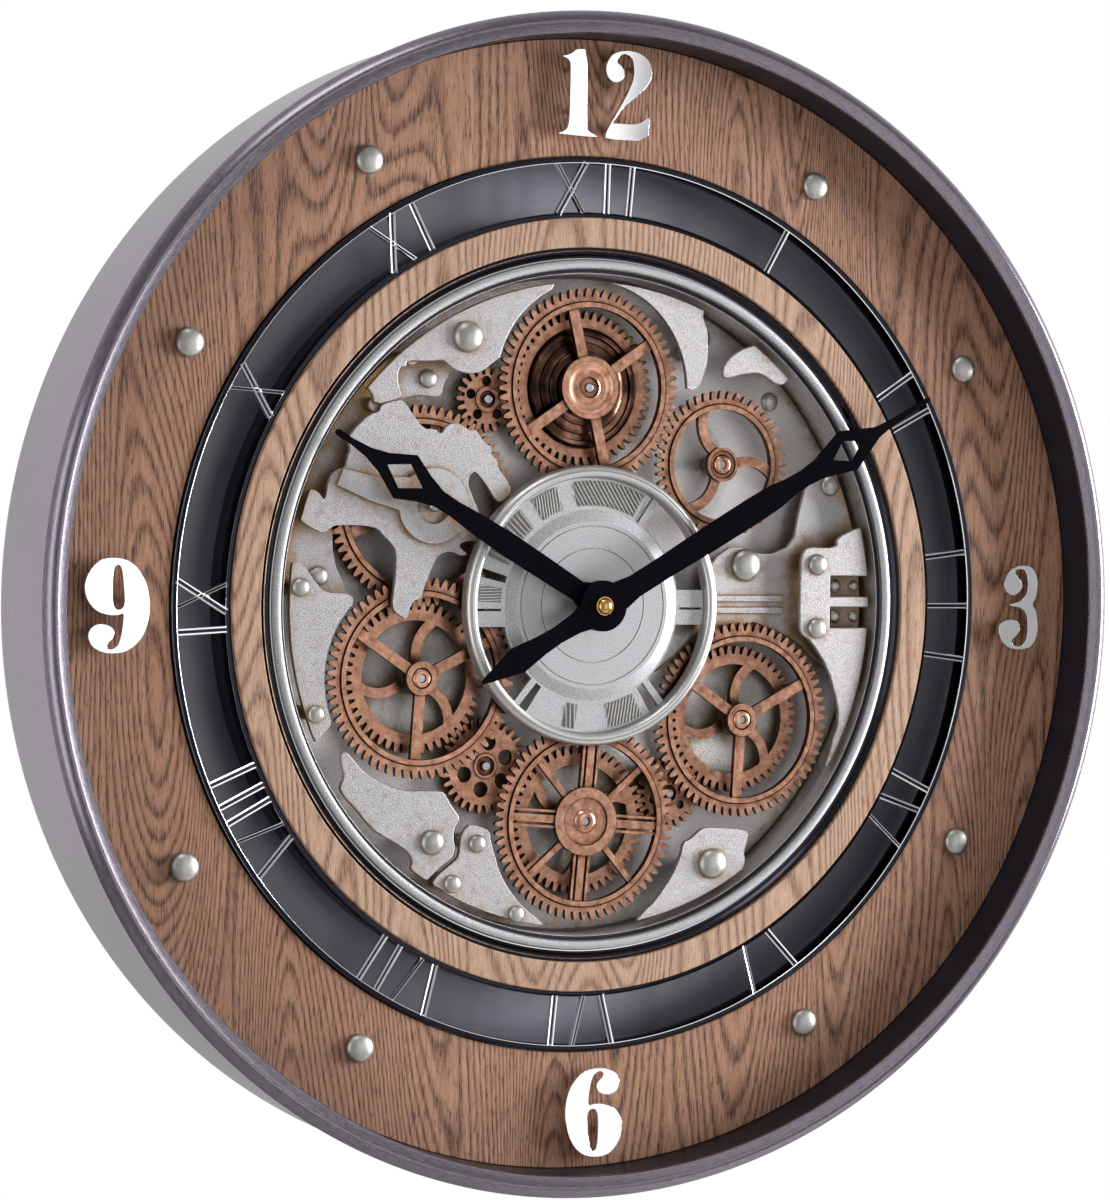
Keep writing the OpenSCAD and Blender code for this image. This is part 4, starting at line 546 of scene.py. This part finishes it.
drum = {"inner": 169.5, "outer": 198.7, "sheet": 2.0, "paintedShadeFrom": 172.0, "edgeMm": 0.25, "steps": 280}
low, high = boxMm("drum_ring")
outerBack, innerBack = drum["outer"] - drum["sheet"], drum["inner"] + drum["sheet"]
drumProfile = [(drum["inner"], low), (drum["inner"], high), (drum["outer"], high), (drum["outer"], low),
               (outerBack, low), (outerBack, high - drum["sheet"]), (innerBack, high - drum["sheet"]),
               (innerBack, low)]
drumRing = turnedPiece("drumRing", drumProfile, baseSilver, drum["edgeMm"], drum["steps"])
# Painted shade: the drum's top and outer wall are given black enamel, a dark sheet where the wall stands in
# shade; its inner wall stays silver
paintFaces(drumRing, blackEnamel, lambda r, d, normal: r > drum["paintedShadeFrom"])
settle(drumRing, "drum_ring")

trim = {  # black chrome, with painted highlights: bright chrome on its outer corner and on a line beside the bezel
    "profile": [(181.0, None), (181.0, 0.3), (180.7, 0), (179.9, 0), (179.4, 0.5), (178.2, 1.7),
                (177.2, 1.9), (176.6, 1.7), (176.6, None)],
    "highlightCornerFrom": 180.6, "highlightCornerDrop": 0.4, "highlightLineFrom": 176.7, "highlightLineTo": 177.1, "steps": 280}
highlightCornerDepth = boxMm("well_trim_ring")[1] - trim["highlightCornerDrop"]
trimRing = turnedPiece("wellTrimRing", fromFront("well_trim_ring", trim["profile"]), smokedChrome, 0,
                       trim["steps"])
# Painted highlight: the outer corner and a thin line beside the bezel are given bright chrome
paintFaces(trimRing, mirrorChrome, lambda r, d, normal: (
    d > highlightCornerDepth and r > trim["highlightCornerFrom"] or trim["highlightLineFrom"] < r < trim["highlightLineTo"]))
settle(trimRing, "well_trim_ring")

bezel = {
    "profile": [(176.4, None), (176.4, 1.2), (175.9, 0.4), (174.9, 0), (173.3, 0), (172.2, 0.4),
                (171.7, 1.2), (171.7, None)],
    "steps": 280}
settle(turnedPiece("wellBezel", fromFront("well_bezel", bezel["profile"]), discSilver, 0, bezel["steps"]),
       "well_bezel")

wire = {
    "profile": [(65.5, None), (65.5, 2.6), (65.9, 1.2), (66.9, 0.3), (68.2, 0), (68.6, 0.1), (68.9, 0.7),
                (69.3, 0.2), (70.3, 0.5), (71.2, 1.4), (71.7, 2.4), (71.8, 3.4), (71.8, None)],
    "steps": 200}
settle(turnedPiece("centreWireRing", fromFront("centre_wire_ring", wire["profile"]), wireSilver, 0,
                   wire["steps"], 50), "centre_wire_ring")

support = {"outer": 43.5, "inner": 41.5, "edgeMm": 0.2, "steps": 120}
supportProfile = band(support["outer"], support["inner"], *boxMm("centre_support"))
settle(turnedPiece("centreSupport", supportProfile, satinTray, support["edgeMm"], support["steps"]),
       "centre_support")
dressed("gear_base", baseSilver, edges["base"])

chapter = {
    "inner": 200.0, "outer": 225.8, "middle": 214.5, "low": 48.9,
    "wide": 1.6, "thin": 1.0,  # widths in hundredths of the middle radius
    "section": [(-1, 0), (-1, 2.7), (-0.8, 3.0), (-0.5, 2.9), (-0.3, 2.3), (0.3, 2.3), (0.5, 2.9),
                (0.8, 3.0), (1, 2.7), (1, 0)],
    "channel": 2.3, "brightFrom": 51.3, "steps": 300,
    # for each hour from twelve: offsets at the inner and outer band, in hundredths of a radian, and width
    "bars": [
        [(-11.3, -3.1, "wide"), (-4.2, -10.4, "thin"), (2.4, 2.4, "wide"), (8.7, 8.7, "wide")],
        [(-0.9, -0.9, "wide")],
        [(-5.6, -5.6, "wide"), (4, 4, "wide")],
        [(-12.9, -12.9, "wide"), (0, 0, "wide"), (12.9, 12.9, "wide")],
        [(-6.8, -6.8, "wide"), (0.7, -1.4, "wide"), (6.8, 8.5, "thin")],
        [(-2.4, -4.9, "wide"), (5.4, 7.8, "thin")],
        [(-3.5, -5.9, "wide"), (1.4, 4, "thin"), (9.6, 9.6, "wide")],
        [(-7.8, -10.1, "wide"), (-4, -1.4, "thin"), (3.1, 3.1, "wide"), (8, 8, "wide")],
        [(-8.2, -11.1, "wide"), (-4.2, -1.6, "thin"), (2.8, 2.8, "wide"), (6.8, 6.8, "wide"),
         (12.2, 12.2, "wide")],
        [(-5.9, -5.9, "wide"), (-1.6, 5.4, "wide"), (5.2, -0.5, "thin")],
        [(-4.5, 2.6, "wide"), (2.4, -3.5, "thin")],
        [(-7.5, -0.7, "wide"), (-0.7, -7.1, "thin"), (4.5, 4.5, "wide")]],
    "bands": {  # turned round the bars: black chrome, with bright chrome painted on the tops of its two beads as highlights, a dark strip between them
        "chapterOuterBand": {"dark": (225.75, 229), "profile": [
            (228.5, 41.9), (228.5, 51.5), (228.35, 51.8), (228.1, 51.9), (227.8, 51.8), (227.6, 51.4),
            (226.2, 51.2), (226.0, 51.6), (225.8, 51.85), (225.55, 51.85), (225.3, 51.6), (225.3, 41.9)]},
        "chapterInnerBand": {"dark": (197.95, 200.2), "profile": [
            (200.5, 41.9), (200.5, 51.6), (200.3, 51.85), (200.0, 51.85), (199.8, 51.6), (199.6, 51.2),
            (198.3, 51.2), (198.1, 51.5), (197.95, 51.5), (197.7, 51.2), (197.7, 49.6), (198.8, 49.6),
            (198.8, 41.9)]}}}


def beadedBar(work, start, end, widthMm):  # a bar with a bead along each edge
    along = (end - start).normalized()
    side = Vector((-along.y, along.x)) * (widthMm / 2)
    rows = []
    for point in (start, end):
        rows.append([work.verts.new(spot(point.x + side.x * s, point.y + side.y * s, chapter["low"] + d))
                     for s, d in chapter["section"]])
    for j in range(len(rows[0])):
        k = (j + 1) % len(rows[0])
        work.faces.new((rows[0][j], rows[1][j], rows[1][k], rows[0][k]))
    work.faces.new(rows[0])
    work.faces.new(rows[1][::-1])


def polarPoint(radius, degrees):
    return Vector((radius * math.cos(math.radians(degrees)), radius * math.sin(math.radians(degrees))))


barWork = bmesh.new()
for hour, bars in enumerate(chapter["bars"]):
    for innerOffset, outerOffset, kind in bars:
        start = polarPoint(chapter["inner"], 90 - 30 * hour - math.degrees(innerOffset / 100))
        end = polarPoint(chapter["outer"], 90 - 30 * hour - math.degrees(outerOffset / 100))
        beadedBar(barWork, start, end, chapter[kind] / 100 * chapter["middle"])
chapterBars = newPiece("chapterBars", meshFrom("chapterBars", barWork), mirrorChrome)
channel = chapter["low"] + chapter["channel"]
# Painted shade: the flat floor of each bar's channel is given black chrome, so a dark line runs down the
# middle of each bright bar
paintFaces(chapterBars, smokedChrome, lambda r, d, normal: abs(d - channel) < 0.05 and normal.y < -0.9)
settle(chapterBars, "chapter_ring")
for name, ring in chapter["bands"].items():
    bandPiece = turnedPiece(name, ring["profile"], smokedChrome, 0, chapter["steps"], 50)
    darkFrom, darkTo = ring["dark"]
    # Painted highlight: the bead tops get bright chrome, the rest stays black chrome
    paintFaces(bandPiece, mirrorChrome, lambda r, d, normal: (
        d > chapter["brightFrom"] and not darkFrom < r < darkTo))
    settle(bandPiece, "chapter_ring")
print("case and rings made")


# Repeated fittings, stood on points: each point carries its own size and turn

fittingTree = bpy.data.node_groups.new("fittingsOnPoints", "GeometryNodeTree")
for label, socketKind in (("Geometry", "NodeSocketGeometry"), ("Fitting", "NodeSocketObject"),
                          ("Material", "NodeSocketMaterial")):
    fittingTree.interface.new_socket(label, in_out="INPUT", socket_type=socketKind)
fittingTree.interface.new_socket("Geometry", in_out="OUTPUT", socket_type="NodeSocketGeometry")
given = fittingTree.nodes.new("NodeGroupInput").outputs
outgoing = fittingTree.nodes.new("NodeGroupOutput").inputs
fitting = addNode(fittingTree, "GeometryNodeObjectInfo", {
    "Object": given["Fitting"], "As Instance": True}, "Geometry")
sizeField = addNode(fittingTree, "GeometryNodeInputNamedAttribute", {
    "data_type": "FLOAT_VECTOR", "Name": "size"})
turnField = addNode(fittingTree, "GeometryNodeInputNamedAttribute", {
    "data_type": "FLOAT_VECTOR", "Name": "turn"})
placedFittings = addNode(fittingTree, "GeometryNodeInstanceOnPoints", {
    "Points": given["Geometry"], "Instance": fitting, "Scale": sizeField, "Rotation": turnField})
realFittings = addNode(fittingTree, "GeometryNodeRealizeInstances", {"Geometry": placedFittings})
paintedFittings = addNode(fittingTree, "GeometryNodeSetMaterial", {
    "Geometry": realFittings, "Material": given["Material"]})
fittingTree.links.new(paintedFittings, outgoing[0])


def onPoints(name, points, sizes, fitting, material, turns=None):
    mesh = bpy.data.meshes.new(name + "Points")
    mesh.from_pydata(points, [], [])
    sizeData = mesh.attributes.new("size", "FLOAT_VECTOR", "POINT")
    turnData = mesh.attributes.new("turn", "FLOAT_VECTOR", "POINT")
    for i, size in enumerate(sizes):
        sizeData.data[i].vector = size
        turnData.data[i].vector = (0, turns[i] if turns else 0, 0)
    piece = newPiece(name + "Seed", mesh, material)
    modifier = piece.modifiers.new("build", "NODES")
    modifier.node_group = fittingTree
    values = {"Fitting": fitting, "Material": material}
    for item in fittingTree.interface.items_tree:
        if item.in_out == "INPUT" and item.name in values:
            modifier[item.identifier] = values[item.name]
    piece = fixed(piece, name)
    smoothByAngle(piece.data, 40)
    return piece


def prototype(name, profile, steps):  # a turned fitting of unit size, standing on its point
    work = bmesh.new()
    rows = []
    for i in range(steps):
        a = 2 * math.pi * i / steps
        rows.append([work.verts.new((r * math.cos(a), -d, r * math.sin(a))) for r, d in profile])
    for i in range(steps):
        here, after = rows[i], rows[(i + 1) % steps]
        for j in range(len(profile) - 1):
            work.faces.new((here[j], after[j], after[j + 1], here[j + 1]))
    bmesh.ops.remove_doubles(work, verts=work.verts, dist=1e-5)  # at the axis
    piece = bpy.data.objects.new(name, meshFrom(name, work))
    bpy.context.scene.collection.objects.link(piece)
    return piece


domeArc = [(math.cos(math.radians(a)), math.sin(math.radians(a))) for a in range(0, 90, 9)]
domeShape = prototype("domeShape", [(0, 0)] + domeArc + [(0, 1)], 40)
studArc = [(math.cos(math.radians(a)), 0.3 + 0.7 * math.sin(math.radians(a))) for a in range(6, 90, 7)]
studShape = prototype("studShape", [(0, 0), (1, 0), (1, 0.26)] + studArc + [(0, 1)], 48)
roundShape = prototype("roundShape", [(0, 0), (1, 0), (1, 1), (0, 1)], 32)

studs = {"hours": [1, 2, 4, 5, 7, 8, 10, 11], "ring": 254.6, "radius": 7.3, "height": 5.0, "seat": 50.5}
studPoints = []
for hour in studs["hours"]:
    a = math.radians(90 - 30 * hour)
    studPoints.append(spot(studs["ring"] * math.cos(a), studs["ring"] * math.sin(a), studs["seat"]))
studSize = (studs["radius"] * mm, studs["height"] * mm, studs["radius"] * mm)
settle(onPoints("hourStuds", studPoints, [studSize] * len(studPoints), studShape, satinNickel),
       "hour_studs")

rivets = {  # each rivet: place across and up in hundredths of the well's radius, then its own radius
    "wellRadius": 168.4, "rise": 0.55,
    "plateTop": 48.4, "deckTop": 39.0, "baseTop": 27.5,
    "onPlates": [(-42.1, 80.2, 8), (43.2, -80.1, 8), (-52, -70.8, 6.3), (-95, 5.2, 4.6),
                 (-89.8, -32, 4.4), (-37.2, -71.6, 4.6), (-45.2, -83.4, 4.6), (-23.9, -93.3, 4.3),
                 (79.5, 12.8, 5.5), (79.5, -7.2, 5.5)],
    "onDecks": [(-52.6, 67.6, 4.8), (-87.2, 8.4, 5), (56.7, 12.4, 8.7), (86.8, 37.7, 5.5), (89, 6, 3.6),
                (96, 6, 3), (89, -3.7, 3.6), (96, -3.7, 3)],
    "onBase": [(43.8, 82.8, 5), (68.2, 63.8, 5)]}
rivetPoints, rivetSizes = [], []
for group, level in (("onPlates", "plateTop"), ("onDecks", "deckTop"), ("onBase", "baseTop")):
    for x, up, r in rivets[group]:
        rivetPoints.append(spot(x * rivets["wellRadius"] / 100, up * rivets["wellRadius"] / 100,
                                rivets[level]))
        rivetSizes.append((r * mm, r * mm * rivets["rise"], r * mm))
settle(onPoints("plateRivets", rivetPoints, rivetSizes, domeShape, satinNickel), "plate_rivets")

spacers = {"count": 8, "ring": 198.0, "radius": 6.0, "low": 4.5, "high": 23.5}
spacerPoints = []
for i in range(spacers["count"]):
    a = math.radians((i + 0.5) * 360 / spacers["count"])
    spacerPoints.append(spot(spacers["ring"] * math.cos(a), spacers["ring"] * math.sin(a),
                             spacers["low"]))
spacerSize = (spacers["radius"] * mm, (spacers["high"] - spacers["low"]) * mm, spacers["radius"] * mm)
settle(onPoints("panSpacers", spacerPoints, [spacerSize] * spacers["count"], roundShape, plainSteel),
       "pan_spacers")
for shape in (domeShape, studShape, roundShape):
    bpy.data.objects.remove(shape)

dressed("back_screws", plainSteel, edges["pressed"])
print("fittings made")


# Numerals, plates and disc

for hour in ("12", "3", "6", "9"):
    dressed("numeral_" + hour, mirrorChrome, edges["numeral"], 2, 40)
for node in ("plate_upper_left", "plate_top", "plate_islet", "plate_right", "plate_lower_right",
             "plate_bottom", "plate_lower_left", "plate_left", "star_plate"):
    dressed(node, sandSilver, edges["plate"], 3, 40)
for node in ("right_deck", "left_deck"):
    dressed(node, sandSilver, edges["deck"], 2, 40)
dressed("plate_pillars", baseSilver, 0)
dressed("centre_disc", discSilver, edges["disc"], 2, 8)

# Ridges and grooves worked into the face round the centre disc
discFace = {
    "inner": 51.2, "outer": 63.8, "top": 49.1, "ridgeWidth": 0.95, "ridgeHeight": 0.7, "shortest": 2,
    "fanRadius": 57.5, "fanLength": 11.0, "ground": 0.06, "groundStep": 2,
    "rows": 45, "probes": 330, "probeStep": 0.2,  # how ridges are tried out across a field
    # each field: from and to in degrees, the ridges' own direction or 0 for a fan, and their spacing
    "fields": [(62.5, 100, 122, 1.95), (109, 123, 100, 1.6), (130, 157, 0, 2.4), (170.5, 178.5, 2, 1.5),
               (-80, -62, 81, 1.75), (-105, -98, 90, 2.3)]}


def ridgesIn(begin, end, direction, spacing):  # parallel ridges, cut off where the field ends
    found = []
    along = Vector((math.cos(math.radians(direction)), math.sin(math.radians(direction))))
    across = Vector((-along.y, along.x))
    for k in range(-discFace["rows"], discFace["rows"] + 1):
        inside = []
        for i in range(-discFace["probes"], discFace["probes"] + 1):
            at = along * (i * discFace["probeStep"]) + across * (k * spacing)
            angle = math.degrees(math.atan2(at.y, at.x))
            angle = angle + 360 if angle < begin else angle
            if begin <= angle <= end and discFace["inner"] <= at.length <= discFace["outer"]:
                inside.append(i * discFace["probeStep"])
        if inside and inside[-1] - inside[0] > discFace["shortest"]:
            middle = along * ((inside[0] + inside[-1]) / 2) + across * (k * spacing)
            found.append((middle, inside[-1] - inside[0], direction))
    return found


ridges = []
for begin, end, direction, spacing in discFace["fields"]:
    if direction:
        ridges += ridgesIn(begin, end, direction, spacing)
    else:  # in a fan each ridge points at the centre
        for k in range(int((end - begin) / spacing)):
            degrees = begin + (k + 0.5) * spacing
            ridges.append((polarPoint(discFace["fanRadius"], degrees), discFace["fanLength"], degrees))
# A thin sheet of darker grey under the ridges: painted shade in the grooves between them
groundWork = bmesh.new()
groundLevels = (discFace["top"], discFace["top"] + discFace["ground"])
for begin, end, direction, spacing in discFace["fields"]:
    steps = int((end - begin) / discFace["groundStep"])
    rows = []
    for i in range(steps + 1):
        edge = [polarPoint(discFace[side], begin + (end - begin) * i / steps)
                for side in ("inner", "outer")]
        rows.append([groundWork.verts.new(spot(at.x, at.y, d)) for at in edge for d in groundLevels])
    for here, after in zip(rows, rows[1:]):
        for j, k in ((0, 1), (1, 3), (3, 2), (2, 0)):
            groundWork.faces.new((here[j], here[k], after[k], after[j]))
    groundWork.faces.new((rows[0][0], rows[0][2], rows[0][3], rows[0][1]))
    groundWork.faces.new((rows[-1][0], rows[-1][1], rows[-1][3], rows[-1][2]))
settle(newPiece("discGround", meshFrom("discGround", groundWork), paintedGrooveShade), "centre_disc")
ridgePoints = [spot(middle.x, middle.y, discFace["top"]) for middle, length, direction in ridges]
ridgeSizes = [(length / 2 * mm, discFace["ridgeHeight"] * mm, discFace["ridgeWidth"] / 2 * mm)
              for middle, length, direction in ridges]
ridgeTurns = [-math.radians(direction) for middle, length, direction in ridges]
ridgeCorners = [(-1, 0.2, -1), (1, 0.2, -1), (1, 0.2, 1), (-1, 0.2, 1),
                (-1, -1, -0.3), (1, -1, -0.3), (1, -1, 0.3), (-1, -1, 0.3)]
ridgeFaces = [(0, 1, 2, 3), (7, 6, 5, 4), (0, 4, 5, 1), (2, 6, 7, 3), (1, 5, 6, 2), (3, 7, 4, 0)]
ridgeShape = newPiece("ridgeShape", bpy.data.meshes.new("ridgeShape"), discSilver)
ridgeShape.data.from_pydata(ridgeCorners, [], ridgeFaces)
ridgePiece = onPoints("discRidges", ridgePoints, ridgeSizes, ridgeShape, wireSilver, ridgeTurns)
settle(ridgePiece, "centre_disc")
bpy.data.objects.remove(ridgeShape)
print("plates made")


# Wheels

for node in ("upper_gear_front_wheel", "upper_gear_rear_wheel", "right_gear", "left_gear_front_wheel",
             "left_gear_rear_wheel", "lower_right_gear_front_wheel", "lower_right_gear_rear_wheel",
             "lower_gear_front_wheel", "lower_gear_rear_wheel", "upper_pinion", "left_pinion",
             "lower_pinion", "side_gear"):
    dressed(node, copper, edges["wheel"], 2, 40)


def onAxis(name, x, up, profile, material, steps):  # turned on a wheel's own axis
    piece = turnedPiece(name, profile, material, 0, steps, 50)
    for vertex in piece.data.vertices:
        vertex.co += spot(x, up, 0)
    return piece


# Dishes and domes pressed round the pins, each a radius and depth profile
hubProfiles = {
    "dish": [(5.5, 43.3), (5.5, 44.5), (6.4, 44.1), (8.4, 44.0), (11.4, 44.7), (12.6, 45.1), (13.4, 45.0),
             (13.4, 43.3)],
    "broadDome": [(2.3, 43.3), (2.3, 45.6), (3.6, 45.7), (5.0, 45.2), (5.8, 44.5), (6.2, 44.0),
                  (6.2, 43.3)],
    "dome": [(2.3, 43.3), (2.3, 45.4), (3.3, 45.6), (4.4, 45.2), (5.0, 44.4), (5.0, 43.3)]}
hubs = (("upper_gear_front_wheel", "upperHubDish", 0, 111.48, "dish"),
        ("lower_gear_front_wheel", "lowerHubDome", 0.47, -111.26, "broadDome"),
        ("right_gear", "rightHubDome", 77.98, 73.45, "dome"),
        ("left_gear_front_wheel", "leftHubDome", -92.38, -36.87, "dome"),
        ("lower_right_gear_front_wheel", "lowerRightHubDome", 91.43, -60.21, "dome"))
for node, name, x, up, shape in hubs:
    settle(onAxis(name, x, up, hubProfiles[shape], rubbedCopper, 64), node)

barrel = {"x": 0.0, "up": 111.48, "steps": 96, "profile": [
    (2.2, 33.3), (2.2, 40.0), (14.0, 40.0), (14.6, 39.4), (14.6, 38.2), (18.8, 38.0), (19.4, 37.4),
    (19.4, 36.4), (23.4, 36.2), (24.0, 35.6), (24.0, 34.9), (26.8, 34.9), (27.4, 36.6), (29.3, 36.8),
    (30.0, 36.2), (30.0, 33.3)]}
settle(onAxis("upperGearBarrel", barrel["x"], barrel["up"], barrel["profile"], bronzeDrum,
              barrel["steps"]), "upper_gear_barrel")
dressed("drive_arbor", plainSteel, edges["arbor"])
dressed("gear_pins", plainSteel, edges["arbor"])
print("wheels made")


# Hands, movement and back

dressed("hour_hand", handBlack, edges["hand"], 2, 40)
dressed("minute_hand", handBlack, edges["hand"], 2, 40)
handNut = dressed("hand_nut", polishedBrass, edges["nut"])
washerFrom = 4.0  # the black washer under the nut starts at this radius
paintFaces(handNut, handBlack, lambda r, d, normal: r > washerFrom)
dressed("movement_housing", mouldedBlack, edges["plastic"])
dressed("set_knob", mouldedBlack, edges["knob"])
dressed("aa_cells", cellJacket, edges["plastic"])
dressed("drive_housing", mouldedBlack, edges["plastic"])
dressed("drive_lid", mouldedBlack, edges["lid"])
dressed("drive_switch", mouldedWhite, edges["knob"])
dressed("back_panel", paintedBoard, edges["board"])
dressed("hanger_plate", plainSteel, edges["pressed"])
print("hands and back made")


# Stage, light and camera. From here on lengths are metres.

studio = {"floorDrop": 1.5, "floorHalf": 2.6, "worldLight": 0.15, "frontLight": 0.42,
          "key": {"place": (2.3, -0.8, 0.1), "width": 0.9, "height": 1.3, "power": 106.0},
          "panel": {"place": (0.5, -1.95, -0.1), "width": 0.9, "height": 1.75, "power": 4.6},
          "left": {"place": (-1.9, -1.0, -0.1), "width": 0.6, "height": 2.0, "power": 13.0},
          "top": {"place": (-0.35, -0.9, 1.9), "width": 0.9, "height": 0.5, "power": 9.0}}

bpy.ops.mesh.primitive_plane_add(size=2 * studio["floorHalf"], location=(0, 0, -studio["floorDrop"]))
floor = bpy.context.object
floor.name = "floor"
floorPaper = plainFinish("paleFloor", {
    "colour": "#EEEDEA", "shade": "#E4E3E0", "rough": 0.8, "grainMm": 40, "bumpMm": 0.2})
floor.data.materials.append(floorPaper)

# The camera sees a white room. Glossy rays see it white behind the clock and greyer in front of it.
scene = bpy.context.scene
world = bpy.data.worlds.new("studioWorld")
scene.world = world
world.use_nodes = True
worldTree = world.node_tree
background = worldTree.nodes["Background"]
seen = addNode(worldTree, "ShaderNodeLightPath", give="Is Camera Ray")
passed = addNode(worldTree, "ShaderNodeLightPath", give="Is Transmission Ray")
mirrored = addNode(worldTree, "ShaderNodeLightPath", give="Is Glossy Ray")
direction = addNode(worldTree, "ShaderNodeTexCoord", give="Generated")
depthWay = addNode(worldTree, "ShaderNodeSeparateXYZ", {0: direction}, "Y")
behind = addNode(worldTree, "ShaderNodeMapRange", {
    "Value": depthWay, "From Min": -0.3, "From Max": 0.3, "To Min": studio["frontLight"], "To Max": 1.0})
part = addNode(worldTree, "ShaderNodeMath", {"operation": "MULTIPLY", 0: mirrored, 1: behind})
clear = addNode(worldTree, "ShaderNodeMath", {"operation": "MAXIMUM", 0: seen, 1: passed})
shown = addNode(worldTree, "ShaderNodeMath", {"operation": "MAXIMUM", 0: clear, 1: part})
strength = addNode(worldTree, "ShaderNodeMath", {
    "operation": "MAXIMUM", 0: shown, 1: studio["worldLight"]})
worldTree.links.new(strength, background.inputs["Strength"])
background.inputs["Color"].default_value = (1, 1, 1, 1)


def softLight(name, lamp):  # turned to face the clock's middle
    data = bpy.data.lights.new(name, "AREA")
    data.shape = "RECTANGLE"
    data.size, data.size_y, data.energy = lamp["width"], lamp["height"], lamp["power"]
    holder = bpy.data.objects.new(name, data)
    scene.collection.objects.link(holder)
    holder.location = lamp["place"]
    holder.rotation_euler = (-Vector(lamp["place"])).to_track_quat("-Z", "Y").to_euler()


for name in ("key", "panel", "left", "top"):
    softLight(name + "Light", studio[name])

# Fitted to the rim, studs and wood rings: focal in picture points, turns in radians, shift in units of
# the stud ring's radius from the plane the studs stand in
lens = {"focal": 3561.896, "yaw": 0.4541625, "pitch": 0.0217151, "roll": 0.0119635,
        "shift": (0.0797385, 7.1513197, -0.0110153), "unit": 0.2546, "studPlane": 0.053,
        "height": 1200, "sensor": 36, "nearest": 0.05}

view = (Matrix.Rotation(lens["roll"], 3, "Y") @ Matrix.Rotation(lens["pitch"], 3, "X")
        @ Matrix.Rotation(lens["yaw"], 3, "Z"))
eye = -(view.transposed() @ Vector(lens["shift"])) * lens["unit"]
eye.y -= lens["studPlane"]
right, forward, up = view.row[0], view.row[1], view.row[2]
camera = bpy.data.objects.new("photoView", bpy.data.cameras.new("photoView"))
scene.collection.objects.link(camera)
camera.matrix_world = Matrix(((right.x, up.x, -forward.x, eye.x), (right.y, up.y, -forward.y, eye.y),
                              (right.z, up.z, -forward.z, eye.z), (0, 0, 0, 1)))
camera.data.sensor_fit = "VERTICAL"
camera.data.sensor_height = lens["sensor"]
camera.data.lens = lens["sensor"] * lens["focal"] / lens["height"]
camera.data.clip_start = lens["nearest"]
scene.camera = camera
scene.view_settings.view_transform = "Standard"
print("stage, light and camera made")
